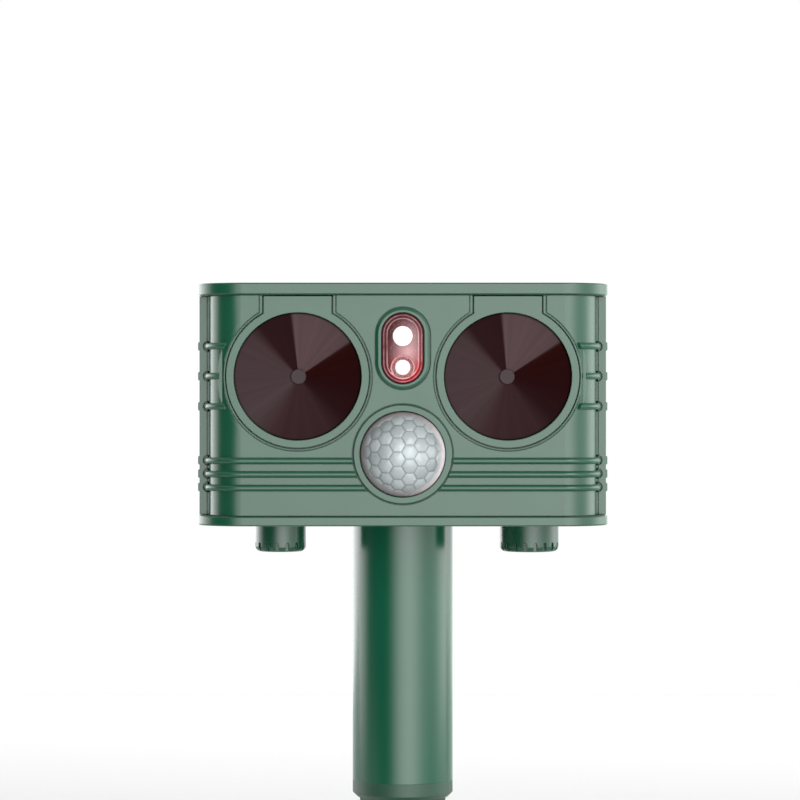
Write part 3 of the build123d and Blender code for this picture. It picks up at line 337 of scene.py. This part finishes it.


# Painted reflections on the horns: the tones of the wedges round each horn's axis.
HORN_MID = (0.027, 0.0153, 0.017)
HORN_DARK = (0.0125, 0.0017, 0.0014)
HORN_DEEP = (0.0115, 0.0030, 0.0037)
HORN_PALE = (0.055, 0.034, 0.036)
HORN_LOW = (0.021, 0.0092, 0.010)
HORN_REFLECTION_WEDGES = (
    (degrees(-180), HORN_MID), (degrees(-140), HORN_MID), (degrees(-110), HORN_LOW), (degrees(-60), HORN_LOW),
    (degrees(-40), HORN_DEEP), (degrees(32), HORN_DARK), (degrees(35), HORN_PALE), (degrees(94), HORN_PALE),
    (degrees(97), HORN_DEEP), (degrees(128), HORN_DEEP), (degrees(138), HORN_MID), (degrees(180), HORN_MID),
)


def horn_cap():
    mauve = (0.030, 0.019, 0.020)
    return moulded_plastic("horn_cap", mauve, 0.5, grain=0.3 * MM, relief_strength=0.3, ior=1.25)


def driver_black():
    return moulded_plastic("driver_black", (0.012, 0.012, 0.012), 0.45)


def metal(name, colour, roughness, grain=0.5 * MM):
    """Plated or drawn metal with fine scratches and a slightly uneven shine."""
    material, tree, shader = new_material(name)
    place = object_place(tree)
    stretched = add(tree, "ShaderNodeMapping", {"Vector": place, "Scale": (1.0, 0.15, 1.0)}).outputs["Vector"]
    scratches = noise(tree, stretched, grain, 5.0)
    cloud = noise(tree, place, 4 * MM)
    body = blend_colours(tree, cloud, rgba(scaled(colour, 0.85)), rgba(scaled(colour, 1.1)))
    tree.links.new(body, shader.inputs["Base Color"])
    tree.links.new(remap(tree, scratches, roughness - 0.08, roughness + 0.12), shader.inputs["Roughness"])
    rounded = soft_edges(tree, 0.15 * MM)
    tree.links.new(relief(tree, scratches, 0.1, 0.02 * MM, rounded), shader.inputs["Normal"])
    shader.inputs["Metallic"].default_value = 1.0
    return material


def screw_steel():
    return metal("screw_steel", (0.50, 0.50, 0.49), 0.30)


def tin_can():
    return metal("tin_can", (0.62, 0.61, 0.58), 0.28)


def control_metal():
    return metal("control_metal", (0.52, 0.52, 0.53), 0.36)


def copper_coil():
    """Enamelled wire: close turns round the bobbin."""
    material, tree, shader = new_material("copper_coil")
    place = object_place(tree)
    wave = {"Vector": place, "Scale": 420.0, "Distortion": 0.4}
    turns = add(tree, "ShaderNodeTexWave", wave, bands_direction="Y").outputs["Fac"]
    body = blend_colours(tree, turns, rgba((0.10, 0.03, 0.012)), rgba((0.48, 0.17, 0.07)))
    tree.links.new(body, shader.inputs["Base Color"])
    tree.links.new(relief(tree, turns, 0.5, 0.1 * MM), shader.inputs["Normal"])
    shader.inputs["Roughness"].default_value = 0.35
    return material


def circuit_board():
    """Solder-masked board: dark green with a faint grid of tracks and pale pads."""
    material, tree, shader = new_material("circuit_board")
    place = object_place(tree)
    tracks = add(
        tree, "ShaderNodeTexBrick",
        {"Vector": place, "Scale": 220.0, "Mortar Size": 0.06, "Color1": rgba((0.012, 0.09, 0.035)),
         "Color2": rgba((0.014, 0.11, 0.042)), "Mortar": rgba((0.03, 0.17, 0.07))},
    )
    pads = add(tree, "ShaderNodeTexVoronoi", {"Vector": place, "Scale": 260.0}).outputs["Distance"]
    pad_mask = math_node(tree, "LESS_THAN", pads, 0.16)
    body = blend_colours(tree, pad_mask, tracks.outputs["Color"], rgba((0.55, 0.53, 0.46)))
    tree.links.new(body, shader.inputs["Base Color"])
    tree.links.new(relief(tree, tracks.outputs["Fac"], 0.2, 0.03 * MM), shader.inputs["Normal"])
    tree.links.new(remap(tree, pad_mask, 0.30, 0.20), shader.inputs["Roughness"])
    return material


def solar_cell():
    """Deep blue cells: crystal flakes, fine silver fingers and a wider bar every few millimetres."""
    material, tree, shader = new_material("solar_cell")
    place = object_place(tree)
    flakes = add(tree, "ShaderNodeTexVoronoi", {"Vector": place, "Scale": 160.0}).outputs["Color"]
    flake_tone = add(tree, "ShaderNodeSeparateColor", {0: flakes}).outputs[0]
    silicon = blend_colours(tree, flake_tone, rgba((0.008, 0.016, 0.065)), rgba((0.018, 0.036, 0.135)))
    parts = add(tree, "ShaderNodeSeparateXYZ", {0: place}).outputs
    fingers = math_node(tree, "MULTIPLY", stripe(tree, parts["Y"], 2.0 * MM, 0.10), 0.45)
    bars = stripe(tree, parts["X"], 9.0 * MM, 0.07)
    lines = math_node(tree, "MAXIMUM", fingers, bars)
    body = blend_colours(tree, lines, silicon, rgba((0.45, 0.46, 0.48)))
    tree.links.new(body, shader.inputs["Base Color"])
    tree.links.new(remap(tree, lines, 0.30, 0.42), shader.inputs["Roughness"])
    return material


def stripe(tree, value, pitch, share):
    """1 on a narrow stripe every pitch metres, else 0."""
    phase = math_node(tree, "FRACT", math_node(tree, "DIVIDE", value, pitch))
    return math_node(tree, "LESS_THAN", phase, share)


def clear_sheet(name, tint, roughness, ior):
    """Clear plastic with the faint flow marks that moulding leaves."""
    material, tree, shader = new_material(name)
    place = object_place(tree)
    flow = noise(tree, place, 6 * MM, 2.0)
    body = blend_colours(tree, flow, rgba(scaled(tint, 0.97)), rgba(tint))
    tree.links.new(body, shader.inputs["Base Color"])
    tree.links.new(remap(tree, flow, roughness, roughness + 0.03), shader.inputs["Roughness"])
    tree.links.new(relief(tree, flow, 0.01, 0.02 * MM), shader.inputs["Normal"])
    shader.inputs["Transmission Weight"].default_value = 1.0
    shader.inputs["IOR"].default_value = ior
    return material


def panel_resin():
    return clear_sheet("panel_resin", (0.93, 0.96, 0.98), 0.04, 1.45)


def clear_plastic():
    """Thin clear cover: a painted shade band at its outline, a darker rim with a faint painted glow, and
    painted highlights along two edges.
    """
    material, tree, shader = new_material("clear_plastic")
    place = object_place(tree)
    flow = noise(tree, place, 6 * MM, 2.0)
    from_pane = stadium_distance(tree, place, "led_window", 0.0)
    from_step = stadium_distance(tree, place, "led_window", WINDOW_RIM)
    outside_step = fade_in(tree, from_step, 0.0, STEP_SOFT)
    pane = blend_colours(tree, flow, rgba((0.95, 0.88, 0.89)), rgba((0.98, 0.93, 0.93)))
    pane = blend_colours(tree, outside_step, pane, rgba((0.62, 0.30, 0.33)))
    # Painted shade: the base colour turns nearly black in a band at the cover's outline.
    painted_edge_shade = fade_in(tree, from_pane, SHADE_BAND_START, SHADE_BAND_END)
    body = blend_colours(tree, painted_edge_shade, pane, rgba((0.02, 0.008, 0.008)))
    tree.links.new(body, shader.inputs["Base Color"])
    # Painted highlights: two thin lines along the outline and the step give off light.
    lines = thin_line(tree, from_pane, PANE_HIGHLIGHT), thin_line(tree, from_step, STEP_HIGHLIGHT)
    edge = math_node(tree, "MAXIMUM", *lines)
    edge = math_node(tree, "MULTIPLY", edge, remap(tree, noise(tree, place, 3 * MM, 2.0), -0.3, 1.1))
    # Painted glow: the rim outside the step gives off a faint pink light.
    painted_rim_glow = blend_colours(tree, outside_step, rgba((0.0, 0.0, 0.0)), rgba((0.030, 0.010, 0.012)))
    tree.links.new(blend_colours(tree, edge, painted_rim_glow, rgba((0.42, 0.30, 0.31))), shader.inputs["Emission Color"])
    shader.inputs["Emission Strength"].default_value = 1.0
    shader.inputs["Transmission Weight"].default_value = 1.0
    shader.inputs["Roughness"].default_value = 0.02
    shader.inputs["IOR"].default_value = 1.06
    return material


def stadium_distance(tree, place, node, inset):
    """Distance outwards from a node's upright stadium outline, taken in by an inset."""
    low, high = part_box(node)
    radius = (high[0] - low[0]) / 2 - inset
    straight = (high[2] - low[2]) / 2 - inset - radius
    parts = offset_parts(tree, place, box_middle(node))
    beyond = math_node(tree, "SUBTRACT", math_node(tree, "ABSOLUTE", parts["Z"]), straight)
    beyond = math_node(tree, "MAXIMUM", beyond, 0.0)
    return math_node(tree, "SUBTRACT", hypotenuse(tree, parts["X"], beyond), radius)


def thin_line(tree, value, middle):
    """1 where the value is at the middle, fading to 0 a hair's breadth to both sides."""
    away = math_node(tree, "ABSOLUTE", math_node(tree, "SUBTRACT", value, middle))
    return math_node(tree, "SUBTRACT", 1.0, fade_in(tree, away, LINE_CORE, LINE_FADE))


def box_middle(node):
    low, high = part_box(node)
    return tuple((a + b) / 2 for a, b in zip(low, high))


def nearness(tree, place, centre, reach):
    """1 at a point, falling to 0 at reach metres from it."""
    away = add(tree, "ShaderNodeVectorMath", {0: place, 1: centre}, operation="DISTANCE").outputs["Value"]
    share = math_node(tree, "SUBTRACT", 1.0, math_node(tree, "DIVIDE", away, reach), True)
    return math_node(tree, "POWER", share, 1.6)


def red_reflector():
    """Dark red tray with painted light: a red glow low on its right, and pale glows round and between the
    lamps.
    """
    material, tree, shader = new_material("red_reflector")
    place = object_place(tree)
    lower, upper = box_middle("lower_led"), box_middle("upper_led")
    # Painted light: the tray itself emits a red patch low on the right, a pale glow between the lamps and
    # another by the upper lamp.
    painted_red_pool = nearness(tree, place, (lower[0] + 3.0 * MM, lower[1], lower[2] - 2.0 * MM), 11 * MM)
    between = (lower[0] + 2.0 * MM, lower[1], (lower[2] + upper[2]) / 2)
    painted_glow_between = nearness(tree, place, between, 8 * MM)
    painted_glow_upper = nearness(tree, place, (upper[0] + 2.5 * MM, upper[1], upper[2] + 0.5 * MM), 7.5 * MM)
    cloud = noise(tree, place, 2 * MM)
    body = blend_colours(tree, cloud, rgba((0.030, 0.002, 0.003)), rgba((0.055, 0.003, 0.003)))
    tree.links.new(body, shader.inputs["Base Color"])
    red = blend_colours(tree, painted_red_pool, rgba((0.016, 0.0, 0.001)), rgba((0.70, 0.006, 0.006)))
    lit = blend_colours(tree, painted_glow_upper, red, rgba((0.55, 0.35, 0.36)))
    tree.links.new(blend_colours(tree, painted_glow_between, lit, rgba((0.80, 0.52, 0.54))), shader.inputs["Emission Color"])
    shader.inputs["Emission Strength"].default_value = 1.0
    shader.inputs["Roughness"].default_value = 0.35
    shader.inputs["Specular IOR Level"].default_value = 0.15
    return material


def lit_lens(name, node, nose_share, flange, ring):
    """A lit lamp: white over its nose, then its flange, which has a bright ring near its edge."""
    material, tree, shader = new_material(name)
    place = object_place(tree)
    low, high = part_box(node)
    radius = (high[0] - low[0]) / 2
    nose = radius * nose_share
    away = distance_y(tree, offset_parts(tree, place, box_middle(node)))
    outside = fade_in(tree, away, nose * 0.90, nose * 1.08)
    near_edge = math_node(tree, "ABSOLUTE", math_node(tree, "SUBTRACT", away, radius - RING_INSET))
    line = math_node(tree, "SUBTRACT", 1.0, fade_in(tree, near_edge, RING_CORE, RING_FADE))
    cloud = noise(tree, place, 1.6 * MM, 2.0)
    core = blend_colours(tree, cloud, rgba((1.0, 0.97, 0.98)), rgba((1.0, 1.0, 1.0)))
    skirt = blend_colours(tree, math_node(tree, "MULTIPLY", line, remap(tree, cloud, 0.5, 1.0)), rgba(flange),
                          rgba(ring))
    tree.links.new(blend_colours(tree, outside, core, skirt), shader.inputs["Emission Color"])
    tree.links.new(blend_colours(tree, outside, rgba((0.8, 0.8, 0.8)), rgba(scaled(flange, 0.3))),
                   shader.inputs["Base Color"])
    shader.inputs["Emission Strength"].default_value = 1.0
    shader.inputs["Roughness"].default_value = 0.2
    return material


def white_light():
    return lit_lens("white_light", "upper_led", 1.0, (0.75, 0.62, 0.64), (0.85, 0.75, 0.77))


def red_light():
    return lit_lens("red_light", "lower_led", 0.60, (0.15, 0.010, 0.012), (0.75, 0.32, 0.33))


def sensor_dome_plastic():
    """Milky lens plastic: pale cells, painted shade in the grooves, painted light and shade that lighten it
    towards the tip, and a smooth pinkish rim with a painted glow on one side.
    """
    material, tree, shader = new_material("sensor_dome_plastic")
    place = object_place(tree)
    groove = add(tree, "ShaderNodeAttribute", {}, attribute_name="groove").outputs["Fac"]
    tone = add(tree, "ShaderNodeAttribute", {}, attribute_name="cell_tone").outputs["Fac"]
    rim = add(tree, "ShaderNodeAttribute", {}, attribute_name="rim").outputs["Fac"]
    glow = add(tree, "ShaderNodeAttribute", {}, attribute_name="glow").outputs["Fac"]
    cell = blend_colours(tree, tone, rgba((0.235, 0.265, 0.268)), rgba((0.305, 0.335, 0.342)))
    # Painted shade: the grooves between the cells are painted greyer.
    cells_with_painted_groove_shade = blend_colours(tree, groove, cell, rgba((0.148, 0.168, 0.168)))
    body = blend_colours(tree, rim, cells_with_painted_groove_shade, rgba((0.25, 0.215, 0.225)))
    # Painted light and shade: the colour is scaled from 0.86 at 16 mm from the tip up to 1.30 at the tip.
    low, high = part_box("sensor_lens")
    tip = ((low[0] + high[0]) / 2, low[1], (low[2] + high[2]) / 2)
    shade = remap(tree, nearness(tree, place, tip, 16 * MM), 0.86, 1.30)
    painted_tip_lighting = add(tree, "ShaderNodeVectorMath", {0: body, "Scale": shade}, operation="SCALE").outputs[0]
    tree.links.new(painted_tip_lighting, shader.inputs["Base Color"])
    rough = remap(tree, noise(tree, place, 1.5 * MM, 3.0), 0.18, 0.32)
    tree.links.new(rough, shader.inputs["Roughness"])
    # Painted glow: the smooth rim gives off light on one side, broken up by noise.
    lit = math_node(tree, "MULTIPLY", glow, remap(tree, noise(tree, place, 2 * MM, 3.0), 0.35, 1.15))
    tree.links.new(blend_colours(tree, lit, rgba((0.0, 0.0, 0.0)), rgba((0.75, 0.70, 0.72))),
                   shader.inputs["Emission Color"])
    shader.inputs["Emission Strength"].default_value = 1.0
    shader.inputs["Subsurface Weight"].default_value = 0.35
    shader.inputs["Subsurface Radius"].default_value = (1.0, 0.9, 0.9)
    shader.inputs["Subsurface Scale"].default_value = 0.9 * MM
    shader.inputs["IOR"].default_value = 1.5
    return material


def capacitor_sleeve():
    return moulded_plastic("capacitor_sleeve", (0.010, 0.012, 0.035), 0.25)


def shaft_white():
    return moulded_plastic("shaft_white", (0.42, 0.42, 0.40), 0.4)


def cell_sleeve():
    return moulded_plastic("cell_sleeve", (0.012, 0.07, 0.22), 0.22)


SLOT_MATERIALS = {
    "housing_plastic": housing_plastic, "knob_plastic": knob_plastic, "pole_plastic": pole_plastic,
    "spike_plastic": spike_plastic, "seal_rubber": seal_rubber, "horn_cap": horn_cap,
    "driver_black": driver_black, "screw_steel": screw_steel, "tin_can": tin_can,
    "control_metal": control_metal, "copper_coil": copper_coil, "circuit_board": circuit_board,
    "solar_cell": solar_cell, "panel_resin": panel_resin, "clear_plastic": clear_plastic,
    "red_reflector": red_reflector, "white_light": white_light, "red_light": red_light,
    "capacitor_sleeve": capacitor_sleeve, "shaft_white": shaft_white, "cell_sleeve": cell_sleeve,
    "sensor_dome": sensor_dome_plastic,
}


def give_materials():
    """Each CAD node gets its slot's material; the two horns have one each, centred on their own axes."""
    made = {slot: make() for slot, make in SLOT_MATERIALS.items()}
    for side in ("left", "right"):
        made[f"{side}_horn_cone"] = horn_cone(side, f"{side}_horn_gloss")
    for part in frame["record"]["subparts"]:
        node, slot = part["node"], part["material_slot"]
        material = made.get(node) or made[slot]
        for place in frame["nodes"][node].material_slots:
            place.material = material
    return made


# ---------------------------------------------------------------- sensor dome

def hexagon_cells(u, v):
    """For points on the unrolled dome: how far each is from its cell's middle, and a tone for that cell."""
    column_step = CELL_PITCH * math.sqrt(3) / 2
    best = np.full(u.shape, 1e9)
    tone = np.zeros(u.shape)
    for column in range(-CELL_REACH, CELL_REACH + 1):
        for row in range(-CELL_REACH, CELL_REACH + 1):
            cu = CELL_SHIFT[0] + column * column_step
            cv = CELL_SHIFT[1] + (row + 0.5 * (column % 2)) * CELL_PITCH
            du, dv = np.abs(u - cu), np.abs(v - cv)
            away = np.maximum(dv, du * math.sqrt(3) / 2 + dv / 2)
            nearer = away < best
            best = np.where(nearer, away, best)
            shade = 0.5 + 0.5 * math.sin(12.9898 * column + 78.233 * row)
            tone = np.where(nearer, shade, tone)
    return best, tone


def dome_shape():
    """Sphere through the lens's rim and tip: radius, middle and rim angle, and the Y of the rim and foot."""
    low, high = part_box("sensor_lens")
    rim_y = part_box("front_cover")[0][1] + DOME_SEAT
    proud = rim_y - low[1]
    radius = (DOME_RADIUS ** 2 + proud ** 2) / (2 * proud)
    middle = ((low[0] + high[0]) / 2, low[1] + radius, (low[2] + high[2]) / 2)
    return radius, middle, math.asin(DOME_RADIUS / radius), rim_y, high[1] - DOME_FOOT


def sensor_dome():
    """Hollow dome whose outer side is made of small bulging hexagon lenses with grooves between them."""
    radius, middle, rim_angle, rim_y, foot_y = dome_shape()
    turn = np.linspace(0, 2 * math.pi, DOME_SECTORS, endpoint=False)
    half = CELL_PITCH / 2
    rows, grooves, tones, rims, glows = [], [], [], [], []
    for index in range(1, DOME_RINGS + 1):
        share = index / DOME_RINGS
        angle = rim_angle * share
        u, v = radius * angle * np.cos(turn), radius * angle * np.sin(turn)
        away, tone = hexagon_cells(u, v)
        groove = np.clip((away - (half - GROOVE_WIDTH)) / GROOVE_WIDTH, 0, 1) ** 2
        keep = float(np.clip((CELLS_END - share) / (CELLS_END - CELLS_FADE), 0, 1))
        out = radius - keep * (CELL_BULGE * (away / half) ** 2 + GROOVE_DEPTH * groove)
        rows.append(np.stack([
            middle[0] + out * math.sin(angle) * np.cos(turn),
            middle[1] - out * math.cos(angle),
            middle[2] + out * math.sin(angle) * np.sin(turn),
        ], axis=1))
        grooves.append(groove * keep)
        tones.append(tone)
        rims.append(np.full(DOME_SECTORS, 1.0 - keep))
        # Painted glow: how strongly the smooth rim glows, most towards GLOW_TOWARD.
        glows.append((1.0 - keep) * np.clip(np.cos(turn - GLOW_TOWARD), 0, 1) ** 2)
    outline = [(DOME_RADIUS, rim_y + 1.0 * MM), (DOME_RADIUS, foot_y)]
    inner = radius - DOME_SKIN - CELL_BULGE
    outline.append((inner * math.sin(rim_angle), foot_y))
    for index in range(INNER_RINGS, 0, -1):
        angle = rim_angle * index / INNER_RINGS
        outline.append((inner * math.sin(angle), middle[1] - inner * math.cos(angle)))
    for ring_radius, y in outline:
        rows.append(np.stack([
            middle[0] + ring_radius * np.cos(turn),
            np.full(DOME_SECTORS, y),
            middle[2] + ring_radius * np.sin(turn),
        ], axis=1))
        grooves.append(np.zeros(DOME_SECTORS))
        tones.append(np.full(DOME_SECTORS, 0.5))
        rims.append(np.ones(DOME_SECTORS))
        glows.append(np.zeros(DOME_SECTORS))
    away, tone = hexagon_cells(np.zeros(1), np.zeros(1))
    tip = (middle[0], middle[1] - radius + CELL_BULGE * (away[0] / half) ** 2, middle[2])
    inner_tip = (middle[0], middle[1] - inner, middle[2])
    points = np.concatenate(rows + [np.array([tip, inner_tip])])
    piece = ring_mesh("sensor_dome", points, len(rows), DOME_SECTORS)
    set_attribute(piece, "groove", np.concatenate(grooves + [np.zeros(2)]))
    set_attribute(piece, "cell_tone", np.concatenate(tones + [np.full(2, tone[0])]))
    set_attribute(piece, "rim", np.concatenate(rims + [np.zeros(2)]))
    set_attribute(piece, "glow", np.concatenate(glows + [np.zeros(2)]))
    return piece


def ring_mesh(name, points, rings, sectors):
    """Closed mesh from rings of points, with the last two points as its tips."""
    faces = []
    first_tip, last_tip = rings * sectors, rings * sectors + 1
    for sector in range(sectors):
        following = (sector + 1) % sectors
        faces.append((first_tip, following, sector))
        for ring in range(rings - 1):
            near, far = ring * sectors, (ring + 1) * sectors
            faces.append((near + sector, near + following, far + following, far + sector))
        end = (rings - 1) * sectors
        faces.append((end + sector, end + following, last_tip))
    mesh = bpy.data.meshes.new(name)
    mesh.from_pydata([tuple(point) for point in points], [], faces)
    mesh.update()
    for polygon in mesh.polygons:
        polygon.use_smooth = True
    piece = bpy.data.objects.new(name, mesh)
    bpy.context.scene.collection.objects.link(piece)
    return piece


def set_attribute(piece, name, values):
    attribute = piece.data.attributes.new(name, "FLOAT", "POINT")
    attribute.data.foreach_set("value", np.asarray(values, dtype=np.float32))


# ---------------------------------------------------------------- studio

BRIGHTEST = 8.0
# Brightness of the studio's walls at each bearing: 0 is in front of the object, +90 at its right.
STUDIO_WALLS = (
    (-180, 1.4), (-150, 3.2), (-128, 4.5), (-116, 4.1), (-98, 2.6), (-84, 0.3), (-72, 0.0), (-38, 0.0),
    (-28, 0.5), (-16, 2.6), (-7, 4.3), (0, 5.0), (8, 5.6), (17, 5.9), (30, 4.7), (42, 3.3), (54, 2.3),
    (68, 2.3), (80, 2.7), (98, 4.4), (114, 4.2), (138, 1.7), (180, 1.4),
)
WALL_TOP = 0.22              # sine of the height where the walls begin to darken
WALL_END = 0.56
CEILING = 0.7


def studio_world():
    """White studio: the camera sees plain white; surfaces see bright walls, a dark card and a dim ceiling."""
    world = bpy.data.worlds.new("studio")
    bpy.context.scene.world = world
    world.use_nodes = True
    tree = world.node_tree
    tree.nodes.clear()
    way = tree.nodes.new("ShaderNodeTexCoord").outputs["Generated"]
    parts = add(tree, "ShaderNodeSeparateXYZ", {0: way}).outputs
    forward = math_node(tree, "MULTIPLY", parts["Y"], -1.0)
    bearing = math_node(tree, "ARCTAN2", parts["X"], forward)
    ramp = add(tree, "ShaderNodeValToRGB", {"Fac": remap_angle(tree, bearing)})
    set_ramp(ramp.color_ramp, [(degrees(at), (level / BRIGHTEST,) * 3) for at, level in STUDIO_WALLS])
    share = add(tree, "ShaderNodeSeparateColor", {0: ramp.outputs["Color"]}).outputs[0]
    walls = math_node(tree, "MULTIPLY", share, BRIGHTEST)
    above = add(
        tree, "ShaderNodeMapRange",
        {"Value": math_node(tree, "ABSOLUTE", parts["Z"]), "From Min": WALL_TOP, "From Max": WALL_END},
        interpolation_type="SMOOTHSTEP",
    ).outputs["Result"]
    level = add(tree, "ShaderNodeMix", {0: above, 2: walls, 3: CEILING}).outputs[0]
    surfaces = add(tree, "ShaderNodeBackground", {"Color": rgba((1.0, 1.0, 1.0)), "Strength": level})
    plain = add(tree, "ShaderNodeBackground", {"Color": rgba((1.0, 1.0, 1.0)), "Strength": 1.0})
    seen = tree.nodes.new("ShaderNodeLightPath").outputs["Is Camera Ray"]
    both = add(tree, "ShaderNodeMixShader", {0: seen, 1: surfaces.outputs[0], 2: plain.outputs[0]})
    output = tree.nodes.new("ShaderNodeOutputWorld")
    tree.links.new(both.outputs[0], output.inputs["Surface"])


def soft_lamp(name, place, target, size, power):
    lamp = bpy.data.lights.new(name, "AREA")
    lamp.shape = "DISK"
    lamp.size = size
    lamp.energy = power
    thing = bpy.data.objects.new(name, lamp)
    bpy.context.scene.collection.objects.link(thing)
    aim(thing, place, target)


def aim(thing, place, target):
    thing.location = place
    thing.rotation_mode = "QUATERNION"
    thing.rotation_quaternion = (Vector(target) - Vector(place)).to_track_quat("-Z", "Y")


def floor():
    """Plain white paper under the spike's tip, curled up at its far end."""
    low = CAD_LOW[2]
    outline = [(FLOOR_FRONT, 0.0), (FLOOR_BACK - FLOOR_BEND, 0.0)]
    for step in range(1, FLOOR_STEPS + 1):
        angle = FLOOR_TURN * step / FLOOR_STEPS
        y = FLOOR_BACK - FLOOR_BEND + FLOOR_BEND * math.sin(angle)
        outline.append((y, FLOOR_BEND * (1 - math.cos(angle))))
    points, faces = [], []
    for y, z in outline:
        points += [(-FLOOR_HALF, y, low + z), (FLOOR_HALF, y, low + z)]
    for row in range(len(outline) - 1):
        faces.append((2 * row, 2 * row + 1, 2 * row + 3, 2 * row + 2))
    mesh = bpy.data.meshes.new("floor")
    mesh.from_pydata(points, [], faces)
    for polygon in mesh.polygons:
        polygon.use_smooth = True
    thing = bpy.data.objects.new("floor", mesh)
    bpy.context.scene.collection.objects.link(thing)
    thing.data.materials.append(floor_paper())


def floor_paper():
    material, tree, shader = new_material("floor_paper")
    place = object_place(tree)
    body = blend_colours(tree, noise(tree, place, 0.4), rgba((0.78, 0.78, 0.78)), rgba((0.80, 0.80, 0.80)))
    tree.links.new(body, shader.inputs["Base Color"])
    shader.inputs["Roughness"].default_value = 0.9
    return material


def camera():
    data = bpy.data.cameras.new("camera")
    thing = bpy.data.objects.new("camera", data)
    bpy.context.scene.collection.objects.link(thing)
    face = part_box("left_horn_bezel")[0][1]
    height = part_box("base_plate")[0][2] + CAMERA_ABOVE_BASE
    aim(thing, (CAMERA_X, face - CAMERA_DISTANCE, height), (CAMERA_X, 0, height))
    data.sensor_width = SENSOR_WIDTH
    data.lens = SENSOR_WIDTH * CAMERA_DISTANCE / FRAME_WIDTH
    data.clip_start = 0.01
    bpy.context.scene.camera = thing


camera()
bpy.context.scene.view_settings.view_transform = "Standard"
studio_world()
floor()
soft_lamp("key", KEY_PLACE, KEY_TARGET, KEY_SIZE, KEY_POWER)
materials = give_materials()
dome = sensor_dome()
dome.data.materials.append(materials["sensor_dome"])
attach(dome, "housing")
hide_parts("sensor_lens")
